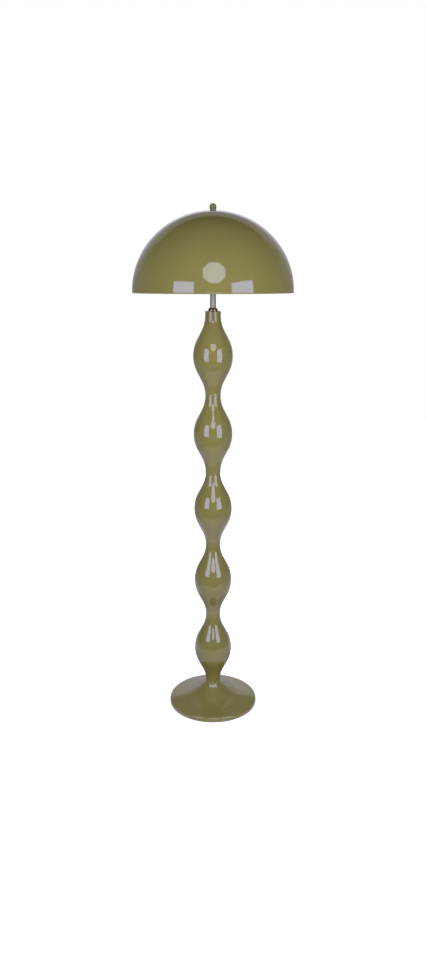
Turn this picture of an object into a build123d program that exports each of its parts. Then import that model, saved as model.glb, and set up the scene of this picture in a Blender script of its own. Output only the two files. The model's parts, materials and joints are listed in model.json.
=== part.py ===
from build123d import *
import os
from math import acos, asin, atan2, cos, degrees, hypot, radians, sin, sqrt

# Floor lamp: five equal turned bobbins stacked on a flared foot, under a dome shade.
# Millimetres, +Z up, origin on the floor under the centre of the foot, front towards -Y.

# Clearances
running_clearance = 0.05        # a shaft that turns in its hole
slip_clearance = 0.2            # pieces slid over or into each other
tongue_clearance = 0.3          # sleeve round the harp joint

# Foot
felt_thickness = 2.5
felt_width = 24.0
felt_margin = 2.5               # felt edge inside the plate edge
plate_thickness = 1.5
plate_margin = 4.0              # plate edge inside the shell wall
base_radius = 136.0
base_wall = 1.2
base_gap = 0.5                  # lower edge of the shell above the floor
base_edge_radius = 9.0
base_edge_height = 7.0          # centre of the rounded edge above the floor
base_tilt = 7.0                 # slope of the ring inside the rounded edge, in degrees
base_ring = 30.0                # width of that ring
base_flare_radius = 14.0        # tight flare under the neck
base_neck = 1.0                 # straight neck above the flare
base_flange = 4.0               # closed top of the foot
neck_height = 72.0              # top of the foot above the floor
weight_margin = 6.0             # weight edge inside the plate edge
weight_skin = 1.0               # weight below the inside of the shell
pocket_height = 26.0            # hollow under the weight, round the tie nut
pocket_gap = 3.0                # terminal block to the wall of the hollow
channel_width = 10.0            # way for the mains cord under the weight
channel_lift = 0.6              # channel above the bore of the gland
screw_count = 3
screw_margin = 12.3             # screw heads inside the felt
screw_start_angle = -90.0
screw_radius = 2.0
screw_length = 7.0
screw_tip_gap = 1.0
screw_head_radius = 4.0
screw_head_height = 2.0

# Cord gland at the back of the foot
gland_bore_radius = 2.6
gland_wall = 1.3
gland_lift = 0.4                # bore above the top of the plate
gland_lip = 1.8                 # flange beyond the notch on each side
gland_flange = 2.0

# Terminal block and inner flex
block_width = 18.0
block_depth = 14.0
block_height = 10.0
block_bore_radius = 1.6
block_bore_spacing = 8.0
flex_radius = 2.5
flex_run = 4.0                  # straight out of the block before the bend

# Tie tube through the column, with its nuts and washer
tie_radius = 5.0
tie_bore_radius = 3.6
tie_tail = 3.0                  # tube below its lower nut
tie_end_gap = 2.0               # tube end below the floor of the lampholder
nut_across_flats = 17.0
nut_height = 5.0
washer_radius = 12.0
washer_thickness = 1.5

# Column of bobbins
bobbin_count = 5
bobbin_pitch = 226.0
bobbin_radius = 56.5
neck_radius = 22.0
belly_share = 0.5               # share of the pitch curve in the belly and in the necks
neck_share = 0.445
bobbin_wall = 1.2
bobbin_top_wall = 4.0
bobbin_foot_wall = 9.0
spigot_radius = 12.0
spigot_height = 5.0
spigot_end_gap = 0.4
collar_height = 12.0            # straight neck on the top bobbin
collar_edge_radius = 1.0

# Stem
ferrule_radius = 13.5
ferrule_height = 9.0
ferrule_floor = 3.0
ferrule_step = 1.5              # upright edge under the cone
ferrule_lip = 0.7
stem_radius = 8.0
stem_wall = 1.2
stem_length = 83.0

# Harp and its saddle
saddle_half_width = 32.0
saddle_strip = 12.0
saddle_thickness = 1.5
saddle_bend_radius = 8.0
saddle_shoulder = 20.0          # shoulder of each arm above the stem
tongue_width = 6.0
tongue_height = 12.0
harp_width = 6.0
harp_thickness = 2.0
harp_height = 175.0             # top of the harp above the stem
harp_half_width = 54.0
harp_foot_gap = 0.3
harp_leg = 36.0                 # straight leg above the shoulder
harp_bow = 42.0                 # height over which a leg leans outwards
harp_bow_radius = 35.0
harp_corner_radius = 42.0
harp_pad_radius = 7.0
sleeve_height = 13.0
sleeve_wall = 0.8
sleeve_corner_radius = 0.7

# Lampholder
cap_hub_radius = 8.5
cap_hub_height = 5.0
cap_height = 12.0               # underside of the cap to its inner floor
cap_skirt = 8.0
cap_wall = 0.9
holder_radius = 17.4
holder_wall = 0.8
holder_height = 44.0
holder_body_height = 20.0
holder_body_gap = 0.2
liner_wall = 0.9
liner_end_gap = 3.0             # liner and screw shell below the rim of the holder
screw_shell_radius = 15.2
screw_shell_wall = 1.0
contact_radius = 5.0
contact_thickness = 1.2

# Switch
switch_height = 12.0            # shaft above the lampholder floor
switch_shaft_radius = 2.0
switch_shaft_root = 4.0         # inner end of the shaft from the lamp axis
switch_hole_gap = 0.6           # shaft to the hole in the holder wall
knob_start = 24.0
knob_length = 16.0
knob_cover = 2.0                # closed end of the knob
knob_radius = 6.5
knob_flutes = 12
knob_flute_radius = 0.6

# Bulb
bulb_length = 105.0
bulb_radius = 30.0
bulb_glass_wall = 0.8
bulb_neck_radius = 12.5
bulb_shoulder_radius = 30.0
bulb_cap_radius = 13.2
bulb_cap_wall = 0.5
bulb_cap_height = 22.0
bulb_cap_cover = 12.0           # glass neck inside the cap
bulb_tip_radius = 4.6
bulb_tip_height = 2.2
bulb_ring_radius = 10.9
bulb_ring_height = 4.0
bulb_ring_gap = 0.1

# Shade, swivel stud and finial
shade_radius = 225.0
shade_height = 218.0
shade_wall = 1.0
shade_crown_radius = 12.0       # flat seat at the top
shade_hole_gap = 0.4
hem_radius = 1.6
hem_proud = 0.4                 # hem outside the dome
stud_radius = 3.175
stud_flange_radius = 8.0
stud_flange_height = 3.2
stud_head_radius = 5.0
stud_head_height = 1.5
stud_head_gap = 0.1
stud_reach = 10.0               # thread above the shade
shade_washer_radius = 10.0
shade_washer_thickness = 1.5
finial_collar_radius = 8.3
finial_collar_height = 4.0
finial_ball_radius = 9.75
finial_bore_depth = 8.0         # bore in the ball above the collar

# Levels and radii that follow
plate_z = felt_thickness
weight_z = plate_z + plate_thickness
plate_radius = base_radius - base_wall - plate_margin
felt_radius = plate_radius - felt_margin
weight_radius = plate_radius - weight_margin
weight_top = neck_height - base_flange
screw_circle = felt_radius - felt_width - screw_head_radius - screw_margin
tie_hole_radius = tie_radius + slip_clearance
pocket_top = weight_z + pocket_height
tie_washer_z = pocket_top - washer_thickness
tie_nut_z = tie_washer_z - nut_height
tie_foot = tie_nut_z - tie_tail
column_top = neck_height + bobbin_count * bobbin_pitch + collar_height
bobbin_depth = bobbin_radius - neck_radius
bobbin_reach = (bobbin_depth**2 + (bobbin_pitch / 2) ** 2) / (2 * bobbin_depth)
belly_arc_radius = belly_share * bobbin_reach
neck_arc_radius = neck_share * bobbin_reach
stem_z = column_top + ferrule_floor
saddle_z = stem_z + stem_length
saddle_nut_z = saddle_z + saddle_thickness
holder_z = saddle_nut_z + nut_height
holder_floor = holder_z + cap_height
holder_rim = holder_floor + holder_height
holder_body_top = holder_floor + holder_body_height
holder_body_radius = holder_radius - holder_wall - holder_body_gap
tie_top = holder_floor - tie_end_gap
contact_top = holder_body_top + contact_thickness
switch_z = holder_floor + switch_height
harp_top = saddle_z + harp_height
stud_seat = harp_top + stud_flange_height
crown_inside = stud_seat + shade_washer_thickness
crown_top = crown_inside + shade_wall
finial_collar_top = crown_top + finial_collar_height

# Where the flex, the terminal block and the gland lie
flex_z = weight_z + block_height / 2
flex_bend_radius = tie_foot - flex_z
block_front = flex_bend_radius + flex_run
block_back = block_front + block_depth
pocket_radius = hypot(block_width / 2, block_back) + pocket_gap
gland_z = weight_z + gland_lift + gland_bore_radius
gland_half = gland_bore_radius + gland_wall
channel_height = gland_z + gland_bore_radius + channel_lift - weight_z
standing = (Align.CENTER, Align.CENTER, Align.MIN)


def tangent_angle(convex_center, concave_center, radii):
    """Angle of the outward normal of the straight line between a convex and a concave arc.

    The line touches both arcs. Moving both inwards by the same wall keeps the angle, since
    the sum of their radii stays the same.
    """
    run = concave_center[0] - convex_center[0]
    rise = concave_center[1] - convex_center[1]
    return degrees(atan2(rise, run) - acos(radii / hypot(run, rise)))


def foot_side(inset, bottom_z):
    """Draw the side of the foot, moved in by inset: wall, edge, ring, sweep, flare and neck.

    The ring rises inwards at a small tilt, and the sweep runs on from it ever faster. Its radius
    is the one that lets it run smoothly into the flare.
    """
    edge_center = (base_radius - base_edge_radius, base_edge_height)
    flare_center = (neck_radius + base_flare_radius, neck_height - base_neck)
    across = sin(radians(base_tilt))
    up = cos(radians(base_tilt))
    sweep_x = edge_center[0] + base_edge_radius * across - base_ring * up
    sweep_z = edge_center[1] + base_edge_radius * up + base_ring * across
    run = sweep_x - flare_center[0]
    rise = flare_center[1] - sweep_z
    slack = rise * up - run * across - base_flare_radius
    sweep_radius = (run**2 + rise**2 - base_flare_radius**2) / (2 * slack)
    sweep_center = (sweep_x + sweep_radius * across, sweep_z + sweep_radius * up)
    meet = degrees(atan2(sweep_center[1] - flare_center[1], sweep_center[0] - flare_center[0]))
    edge = CenterArc(edge_center, base_edge_radius - inset, 0, 90 - base_tilt)
    rising = CenterArc(sweep_center, sweep_radius + inset, 270 - base_tilt, meet + base_tilt - 90)
    Line(edge @ 1, rising @ 0)
    flare = CenterArc(flare_center, base_flare_radius + inset, 180 + meet, -meet)
    wall = Line((base_radius - inset, bottom_z), edge @ 0)
    neck = Line(flare @ 1, (neck_radius - inset, neck_height))
    return wall @ 0, neck @ 1


def bobbin_side(foot_z, inset):
    """Draw the side of a bobbin, moved in by inset: neck, belly and neck, with straights."""
    belly_center = (bobbin_radius - belly_arc_radius, foot_z + bobbin_pitch / 2)
    neck_center = (neck_radius + neck_arc_radius, foot_z + bobbin_pitch)
    foot_center = (neck_center[0], foot_z)
    normal = tangent_angle(belly_center, neck_center, belly_arc_radius + neck_arc_radius)
    foot = CenterArc(foot_center, neck_arc_radius + inset, 180, -normal)
    belly = CenterArc(belly_center, belly_arc_radius - inset, -normal, 2 * normal)
    neck = CenterArc(neck_center, neck_arc_radius + inset, 180 + normal, -normal)
    Line(foot @ 1, belly @ 0)
    Line(belly @ 1, neck @ 0)
    return foot @ 0, neck @ 1


def close_to_axis(low, high):
    """Join the two ends of a side to the axis, level with each."""
    Polyline(high, (0, high.Y), (0, low.Y), low)


# Foot: felt ring and bottom plate
with BuildPart() as felt_pad:
    with BuildSketch(Plane.XY):
        Circle(felt_radius)
        Circle(felt_radius - felt_width, mode=Mode.SUBTRACT)
    extrude(amount=felt_thickness)

with BuildPart() as base_plate:
    with BuildSketch(Plane.XY.offset(plate_z)):
        Circle(plate_radius)
        with PolarLocations(screw_circle, screw_count, screw_start_angle):
            Circle(screw_radius + slip_clearance, mode=Mode.SUBTRACT)
    extrude(amount=plate_thickness)

with BuildPart() as base_plate_screws:
    with BuildSketch(Plane.XY.offset(plate_z)):
        with PolarLocations(screw_circle, screw_count, screw_start_angle):
            Circle(screw_head_radius)
    extrude(amount=-screw_head_height)
    with BuildSketch(Plane.XY.offset(plate_z)):
        with PolarLocations(screw_circle, screw_count, screw_start_angle):
            Circle(screw_radius)
    extrude(amount=screw_length)

# Cast weight: it follows the shell, and its boss carries the shell; hollow round the nut
with BuildPart() as base_weight:
    with BuildSketch(Plane.XZ):
        with BuildLine():
            side = foot_side(base_wall + weight_skin, weight_z)
            close_to_axis(*side)
        make_face()
        with Locations((weight_radius, weight_z)):
            Rectangle(
                base_radius,
                neck_height,
                align=(Align.MIN, Align.MIN),
                mode=Mode.SUBTRACT,
            )
        with Locations((0, weight_top)):
            Rectangle(
                2 * base_radius,
                neck_height,
                align=(Align.CENTER, Align.MIN),
                mode=Mode.SUBTRACT,
            )
    revolve(axis=Axis.Z)
    with Locations((0, 0, weight_z)):
        Cylinder(pocket_radius, pocket_height, align=standing, mode=Mode.SUBTRACT)
        Cylinder(tie_hole_radius, weight_top - weight_z, align=standing, mode=Mode.SUBTRACT)
    with BuildSketch(Plane.XY.offset(weight_z)):
        Rectangle(channel_width, 2 * weight_radius, align=(Align.CENTER, Align.MIN))
    extrude(amount=channel_height, mode=Mode.SUBTRACT)
    with BuildSketch(Plane.XY.offset(weight_z)):
        with PolarLocations(screw_circle, screw_count, screw_start_angle):
            Circle(screw_radius + running_clearance)
    extrude(amount=screw_length - plate_thickness + screw_tip_gap, mode=Mode.SUBTRACT)

# Spun shell of the foot, closed at the neck, with a spigot for the first bobbin
with BuildPart() as base_shell:
    with BuildSketch(Plane.XZ):
        with BuildLine():
            side = foot_side(0, base_gap)
            close_to_axis(*side)
        make_face()
    revolve(axis=Axis.Z)
    with BuildSketch(Plane.XZ):
        with BuildLine():
            side = foot_side(base_wall, base_gap)
            close_to_axis(*side)
        make_face()
        with Locations((0, weight_top)):
            Rectangle(
                2 * base_radius,
                2 * base_flange,
                align=(Align.CENTER, Align.MIN),
                mode=Mode.SUBTRACT,
            )
    revolve(axis=Axis.Z, mode=Mode.SUBTRACT)
    with Locations((0, 0, neck_height)):
        Cylinder(spigot_radius, spigot_height, align=standing)
    with Locations((0, 0, weight_top)):
        Cylinder(
            tie_hole_radius,
            base_flange + spigot_height,
            align=standing,
            mode=Mode.SUBTRACT,
        )
    with BuildSketch(Plane.XZ.offset(-base_radius - gland_flange)):
        with Locations((0, base_gap)):
            Rectangle(
                2 * (gland_half + slip_clearance),
                gland_z + gland_half + slip_clearance - base_gap,
                align=(Align.CENTER, Align.MIN),
            )
    extrude(amount=base_wall + plate_margin + gland_flange, mode=Mode.SUBTRACT)

# Rubber gland in the notch, with a flange outside the wall and an ear each side inside it
with BuildPart() as cord_gland:
    with BuildSketch(Plane.XZ.offset(-base_radius - gland_flange - slip_clearance)):
        with Locations((0, gland_z)):
            Rectangle(2 * (gland_half + gland_lip), 2 * gland_half)
    extrude(amount=gland_flange)
    with BuildSketch(Plane.XZ.offset(-base_radius - slip_clearance)):
        with Locations((0, gland_z)):
            Rectangle(2 * gland_half, 2 * gland_half)
    extrude(amount=base_wall + gland_flange + 3 * slip_clearance)
    with BuildSketch(Plane.XZ.offset(base_wall + 2 * slip_clearance - base_radius)):
        with Locations((0, gland_z - gland_half)):
            Rectangle(
                2 * (gland_half + gland_lip),
                base_edge_height - gland_z + gland_half,
                align=(Align.CENTER, Align.MIN),
            )
    extrude(amount=gland_flange)
    with BuildSketch(Plane.XZ.offset(-base_radius - gland_flange - slip_clearance)):
        with Locations((0, gland_z)):
            Circle(gland_bore_radius)
    extrude(amount=base_wall + 2 * gland_flange + 4 * slip_clearance, mode=Mode.SUBTRACT)

# Terminal block on the plate, behind the tie nut
with BuildPart() as terminal_block:
    with BuildSketch(Plane.XY.offset(weight_z)):
        with Locations((0, block_front)):
            Rectangle(block_width, block_depth, align=(Align.CENTER, Align.MIN))
    extrude(amount=block_height)
    with BuildSketch(Plane.XZ.offset(-block_back)):
        with Locations((0, flex_z)):
            with GridLocations(block_bore_spacing, 0, 2, 1):
                Circle(block_bore_radius)
    extrude(amount=block_depth / 2, mode=Mode.SUBTRACT)

# Inner flex from the block, bent up into the tie tube and along it to the lampholder
with BuildPart() as inner_flex:
    with BuildLine() as flex_route:
        FilletPolyline(
            (0, block_front, flex_z),
            (0, 0, flex_z),
            (0, 0, holder_floor),
            radius=flex_bend_radius,
        )
    with BuildSketch(Plane.XZ.offset(-block_front)):
        with Locations((0, flex_z)):
            Circle(flex_radius)
    sweep(path=flex_route.line)

# Tie tube and what clamps it
with BuildPart() as tie_tube:
    with BuildSketch(Plane.XY.offset(tie_foot)):
        Circle(tie_radius)
        Circle(tie_bore_radius, mode=Mode.SUBTRACT)
    extrude(amount=tie_top - tie_foot)

with BuildPart() as tie_washer:
    with BuildSketch(Plane.XY.offset(tie_washer_z)):
        Circle(washer_radius)
        Circle(tie_hole_radius, mode=Mode.SUBTRACT)
    extrude(amount=washer_thickness)


def make_nut(nut_z):
    """Hexagon nut on the tie tube, its lower face at nut_z."""
    with BuildPart() as nut:
        with BuildSketch(Plane.XY.offset(nut_z)):
            RegularPolygon(nut_across_flats / 2, 6, major_radius=False)
            Circle(tie_radius + running_clearance, mode=Mode.SUBTRACT)
        extrude(amount=nut_height)
    return nut


tie_nut = make_nut(tie_nut_z)
saddle_nut = make_nut(saddle_nut_z)


def make_bobbin(index):
    """Hollow bobbin with a socket in its foot and a spigot, or the top collar, on its head."""
    foot_z = neck_height + index * bobbin_pitch
    top_z = foot_z + bobbin_pitch
    cavity_height = bobbin_pitch - bobbin_foot_wall - bobbin_top_wall
    is_top = index == bobbin_count - 1
    with BuildPart() as bobbin:
        with BuildSketch(Plane.XZ):
            with BuildLine():
                outer = bobbin_side(foot_z, 0)
                close_to_axis(*outer)
            make_face()
        revolve(axis=Axis.Z)
        with BuildSketch(Plane.XZ):
            with BuildLine():
                inner = bobbin_side(foot_z, bobbin_wall)
                close_to_axis(*inner)
            make_face()
            with Locations((0, foot_z + bobbin_foot_wall)):
                Rectangle(
                    2 * bobbin_radius,
                    cavity_height,
                    align=(Align.CENTER, Align.MIN),
                    mode=Mode.INTERSECT,
                )
        revolve(axis=Axis.Z, mode=Mode.SUBTRACT)
        with Locations((0, 0, top_z)):
            if is_top:
                Cylinder(neck_radius, collar_height, align=standing)
                rim = bobbin.edges().filter_by(GeomType.CIRCLE).group_by(Axis.Z)[-1]
                fillet(rim, collar_edge_radius)
            else:
                Cylinder(spigot_radius, spigot_height, align=standing)
        with Locations((0, 0, foot_z)):
            Cylinder(
                spigot_radius + slip_clearance,
                spigot_height + spigot_end_gap,
                align=standing,
                mode=Mode.SUBTRACT,
            )
            Cylinder(
                tie_hole_radius,
                bobbin_pitch + collar_height + spigot_height,
                align=standing,
                mode=Mode.SUBTRACT,
            )
    return bobbin


bobbins = [make_bobbin(index) for index in range(bobbin_count)]

# Cone ferrule on the top bobbin, and the plated tube that stands in it round the tie tube
with BuildPart() as stem_ferrule:
    with BuildSketch(Plane.XZ):
        with BuildLine():
            Polyline(
                (tie_hole_radius, column_top),
                (ferrule_radius, column_top),
                (ferrule_radius, column_top + ferrule_step),
                (stem_radius + ferrule_lip, column_top + ferrule_height),
                (stem_radius + running_clearance, column_top + ferrule_height),
                (stem_radius + running_clearance, stem_z),
                (tie_hole_radius, stem_z),
                close=True,
            )
        make_face()
    revolve(axis=Axis.Z)

with BuildPart() as stem_tube:
    with BuildSketch(Plane.XY.offset(stem_z)):
        Circle(stem_radius)
        Circle(stem_radius - stem_wall, mode=Mode.SUBTRACT)
    extrude(amount=stem_length)

# Saddle: a strip bent up at both ends, each end narrowed to a tongue above its shoulder
saddle_arm_x = saddle_half_width - saddle_thickness / 2
saddle_mid_z = saddle_z + saddle_thickness / 2
shoulder_z = saddle_z + saddle_shoulder
tongue_top = shoulder_z + tongue_height
with BuildPart() as harp_saddle:
    with BuildLine(Plane.XZ) as saddle_route:
        FilletPolyline(
            (-saddle_arm_x, tongue_top),
            (-saddle_arm_x, saddle_mid_z),
            (saddle_arm_x, saddle_mid_z),
            (saddle_arm_x, tongue_top),
            radius=saddle_bend_radius,
        )
    with BuildSketch(Plane.XY.offset(tongue_top)):
        with Locations((-saddle_arm_x, 0)):
            Rectangle(saddle_thickness, saddle_strip)
    sweep(path=saddle_route.line)
    with BuildSketch(Plane.XY.offset(shoulder_z)):
        Rectangle(2 * harp_half_width, saddle_strip)
        Rectangle(2 * harp_half_width, tongue_width, mode=Mode.SUBTRACT)
    extrude(amount=tongue_height, mode=Mode.SUBTRACT)
    with Locations((0, 0, saddle_z)):
        Cylinder(tie_hole_radius, saddle_thickness, align=standing, mode=Mode.SUBTRACT)

# Harp: one bent strip with a round pad and hole at the top, its feet against the tongues
harp_foot_x = saddle_half_width + harp_thickness / 2
harp_foot_z = shoulder_z + harp_foot_gap
harp_leg_z = shoulder_z + harp_leg
harp_mid_z = harp_top - harp_thickness / 2
with BuildPart() as harp_loop:
    with BuildLine(Plane.XZ) as harp_route:
        FilletPolyline(
            (-harp_foot_x, harp_foot_z),
            (-harp_foot_x, harp_leg_z),
            (-harp_half_width, harp_leg_z + harp_bow),
            (-harp_half_width, harp_mid_z),
            (harp_half_width, harp_mid_z),
            (harp_half_width, harp_leg_z + harp_bow),
            (harp_foot_x, harp_leg_z),
            (harp_foot_x, harp_foot_z),
            radius=[harp_bow_radius] * 2 + [harp_corner_radius] * 2 + [harp_bow_radius] * 2,
        )
    with BuildSketch(Plane.XY.offset(harp_foot_z)):
        with Locations((-harp_foot_x, 0)):
            Rectangle(harp_thickness, harp_width)
    sweep(path=harp_route.line)
    with BuildSketch(Plane.XY.offset(harp_top)):
        Circle(harp_pad_radius)
    extrude(amount=-harp_thickness)
    with BuildSketch(Plane.XY.offset(harp_top)):
        Circle(stud_radius + running_clearance)
    extrude(amount=-harp_thickness, mode=Mode.SUBTRACT)


def make_sleeve(side):
    """Sliding sleeve round one tongue and harp foot, resting on the shoulder of the saddle."""
    joint_width = saddle_thickness + harp_thickness + 2 * tongue_clearance
    joint_depth = max(tongue_width, harp_width) + 2 * tongue_clearance
    center_x = side * (saddle_half_width + (harp_thickness - saddle_thickness) / 2)
    with BuildPart() as sleeve:
        with BuildSketch(Plane.XY.offset(shoulder_z)):
            with Locations((center_x, 0)):
                RectangleRounded(
                    joint_width + 2 * sleeve_wall,
                    joint_depth + 2 * sleeve_wall,
                    sleeve_corner_radius,
                )
                Rectangle(joint_width, joint_depth, mode=Mode.SUBTRACT)
        extrude(amount=sleeve_height)
    return sleeve


harp_sleeve_left = make_sleeve(-1)
harp_sleeve_right = make_sleeve(1)

# Lampholder: cap on the tie tube, shell in its skirt, moulded body, liner and screw shell
cap_radius = holder_radius + slip_clearance + cap_wall
with BuildPart() as holder_cap:
    with BuildSketch(Plane.XZ):
        with BuildLine():
            Polyline(
                (tie_radius + running_clearance, holder_z),
                (cap_hub_radius, holder_z),
                (cap_hub_radius, holder_z + cap_hub_height),
                (cap_radius, holder_floor),
                (cap_radius, holder_floor + cap_skirt),
                (cap_radius - cap_wall, holder_floor + cap_skirt),
                (cap_radius - cap_wall, holder_floor),
                (tie_radius + running_clearance, holder_floor),
                close=True,
            )
        make_face()
    revolve(axis=Axis.Z)

with BuildPart() as holder_shell:
    with BuildSketch(Plane.XY.offset(holder_floor)):
        Circle(holder_radius)
        Circle(holder_radius - holder_wall, mode=Mode.SUBTRACT)
    extrude(amount=holder_height)
    with BuildSketch(Plane.XZ):
        with Locations((0, switch_z)):
            Circle(switch_shaft_radius + switch_hole_gap)
    extrude(amount=2 * holder_radius, mode=Mode.SUBTRACT)

with BuildPart() as holder_body:
    with BuildSketch(Plane.XY.offset(holder_floor)):
        Circle(holder_body_radius)
    extrude(amount=holder_body_height)
    with BuildSketch(Plane.XZ.offset(switch_shaft_root)):
        with Locations((0, switch_z)):
            Circle(switch_shaft_radius + running_clearance)
    extrude(amount=holder_radius, mode=Mode.SUBTRACT)

with BuildPart() as holder_liner:
    with BuildSketch(Plane.XY.offset(holder_body_top)):
        Circle(holder_body_radius)
        Circle(holder_body_radius - liner_wall, mode=Mode.SUBTRACT)
    extrude(amount=holder_rim - liner_end_gap - holder_body_top)

with BuildPart() as screw_shell:
    with BuildSketch(Plane.XY.offset(holder_body_top)):
        Circle(screw_shell_radius)
        Circle(screw_shell_radius - screw_shell_wall, mode=Mode.SUBTRACT)
    extrude(amount=holder_rim - liner_end_gap - holder_body_top)

with BuildPart() as center_contact:
    with BuildSketch(Plane.XY.offset(holder_body_top)):
        Circle(contact_radius)
    extrude(amount=contact_thickness)

# Turn switch: shaft into the moulded body and a fluted knob towards the front
knob_end = knob_start + knob_length
with BuildPart() as switch_shaft:
    with BuildSketch(Plane.XZ.offset(switch_shaft_root)):
        with Locations((0, switch_z)):
            Circle(switch_shaft_radius)
    extrude(amount=knob_end - knob_cover - switch_shaft_root)

with BuildPart() as switch_knob:
    with BuildSketch(Plane.XZ.offset(knob_start)):
        with Locations((0, switch_z)):
            Circle(knob_radius)
            with PolarLocations(knob_radius, knob_flutes):
                Circle(knob_flute_radius, mode=Mode.SUBTRACT)
    extrude(amount=knob_length)
    with BuildSketch(Plane.XZ.offset(knob_start)):
        with Locations((0, switch_z)):
            Circle(switch_shaft_radius + running_clearance)
    extrude(amount=knob_length - knob_cover, mode=Mode.SUBTRACT)

# Bulb: contact tip, insulating ring, screw cap and hollow glass
bulb_ring_z = contact_top + bulb_tip_height
bulb_cap_z = bulb_ring_z + bulb_ring_height
bulb_cap_top = bulb_cap_z + bulb_cap_height
bulb_center_z = contact_top + bulb_length - bulb_radius
with BuildPart() as bulb_contact:
    with BuildSketch(Plane.XY.offset(contact_top)):
        Circle(bulb_tip_radius)
    extrude(amount=bulb_tip_height)

with BuildPart() as bulb_insulator:
    with BuildSketch(Plane.XZ):
        with BuildLine():
            Polyline(
                (0, bulb_ring_z),
                (bulb_tip_radius, bulb_ring_z),
                (bulb_ring_radius, bulb_cap_z),
                (bulb_ring_radius, bulb_cap_z + bulb_cap_wall),
                (0, bulb_cap_z + bulb_cap_wall),
                close=True,
            )
        make_face()
    revolve(axis=Axis.Z)

with BuildPart() as bulb_cap:
    with BuildSketch(Plane.XY.offset(bulb_cap_z)):
        Circle(bulb_cap_radius)
        Circle(bulb_ring_radius + bulb_ring_gap, mode=Mode.SUBTRACT)
    extrude(amount=bulb_cap_wall)
    with BuildSketch(Plane.XY.offset(bulb_cap_z)):
        Circle(bulb_cap_radius)
        Circle(bulb_cap_radius - bulb_cap_wall, mode=Mode.SUBTRACT)
    extrude(amount=bulb_cap_height)


def bulb_side(inset):
    """Draw the side of the glass, moved in by inset: neck, hollow shoulder and round head."""
    shoulder_x = bulb_neck_radius + bulb_shoulder_radius
    reach = bulb_radius + bulb_shoulder_radius
    drop = sqrt(reach**2 - shoulder_x**2)
    turn = degrees(atan2(drop, shoulder_x))
    shoulder_center = (shoulder_x, bulb_center_z - drop)
    head = CenterArc((0, bulb_center_z), bulb_radius - inset, -turn, 90 + turn)
    shoulder = CenterArc(shoulder_center, bulb_shoulder_radius + inset, 180, -turn)
    foot_z = bulb_cap_top - bulb_cap_cover + inset
    Polyline(shoulder @ 0, (bulb_neck_radius - inset, foot_z), (0, foot_z), head @ 1)


with BuildPart() as bulb_glass_shell:
    with BuildSketch(Plane.XZ):
        with BuildLine():
            bulb_side(0)
        make_face()
    revolve(axis=Axis.Z)
    with BuildSketch(Plane.XZ):
        with BuildLine():
            bulb_side(bulb_glass_wall)
        make_face()
    revolve(axis=Axis.Z, mode=Mode.SUBTRACT)

# Swivel stud riveted in the top of the harp, and the washer that the shade sits on
stud_head_z = harp_top - harp_thickness - stud_head_gap
with BuildPart() as swivel_stud:
    with BuildSketch(Plane.XZ):
        with BuildLine():
            Polyline(
                (0, stud_head_z - stud_head_height),
                (stud_head_radius, stud_head_z - stud_head_height),
                (stud_head_radius, stud_head_z),
                (stud_radius, stud_head_z),
                (stud_radius, harp_top),
                (stud_flange_radius, harp_top),
                (stud_flange_radius, stud_seat),
                (stud_radius, stud_seat),
                (stud_radius, crown_top + stud_reach),
                (0, crown_top + stud_reach),
                close=True,
            )
        make_face()
    revolve(axis=Axis.Z)

with BuildPart() as shade_washer:
    with BuildSketch(Plane.XY.offset(stud_seat)):
        Circle(shade_washer_radius)
        Circle(stud_radius + running_clearance, mode=Mode.SUBTRACT)
    extrude(amount=shade_washer_thickness)

# Dome: a spun sheet of elliptical section with a flat seat at the crown and a rolled hem
dome_radius = shade_radius - hem_proud
dome_height = shade_height - hem_radius
crown_angle = acos(shade_crown_radius / dome_radius)
dome_z = crown_top - dome_height * sin(crown_angle)
crown_angle_inside = asin((crown_inside - dome_z) / (dome_height - shade_wall))
shade_hole_radius = stud_radius + shade_hole_gap
with BuildPart() as shade_dome:
    with BuildSketch(Plane.XZ):
        with BuildLine():
            outside = EllipticalCenterArc(
                (0, dome_z), dome_radius, dome_height, arc_size=degrees(crown_angle)
            )
            inside = EllipticalCenterArc(
                (0, dome_z),
                dome_radius - shade_wall,
                dome_height - shade_wall,
                arc_size=degrees(crown_angle_inside),
            )
            Polyline(
                outside @ 1,
                (shade_hole_radius, crown_top),
                (shade_hole_radius, crown_inside),
                inside @ 1,
            )
            Line(inside @ 0, outside @ 0)
        make_face()
        with Locations((shade_radius - hem_radius, dome_z)):
            Circle(hem_radius)
    revolve(axis=Axis.Z)

# Finial: a collar on the thread and the ball that stands on it
ball_center_z = finial_collar_top + sqrt(finial_ball_radius**2 - finial_collar_radius**2)
finial_top = ball_center_z + finial_ball_radius
with BuildPart() as finial_collar:
    with BuildSketch(Plane.XY.offset(crown_top)):
        Circle(finial_collar_radius)
        Circle(stud_radius + running_clearance, mode=Mode.SUBTRACT)
    extrude(amount=finial_collar_height)

with BuildPart() as finial_ball:
    with Locations((0, 0, ball_center_z)):
        Sphere(finial_ball_radius)
    with Locations((0, 0, finial_collar_top)):
        Cylinder(
            2 * finial_ball_radius,
            2 * finial_ball_radius,
            align=standing,
            mode=Mode.INTERSECT,
        )
        Cylinder(
            stud_radius + running_clearance,
            finial_bore_depth,
            align=standing,
            mode=Mode.SUBTRACT,
        )

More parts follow.
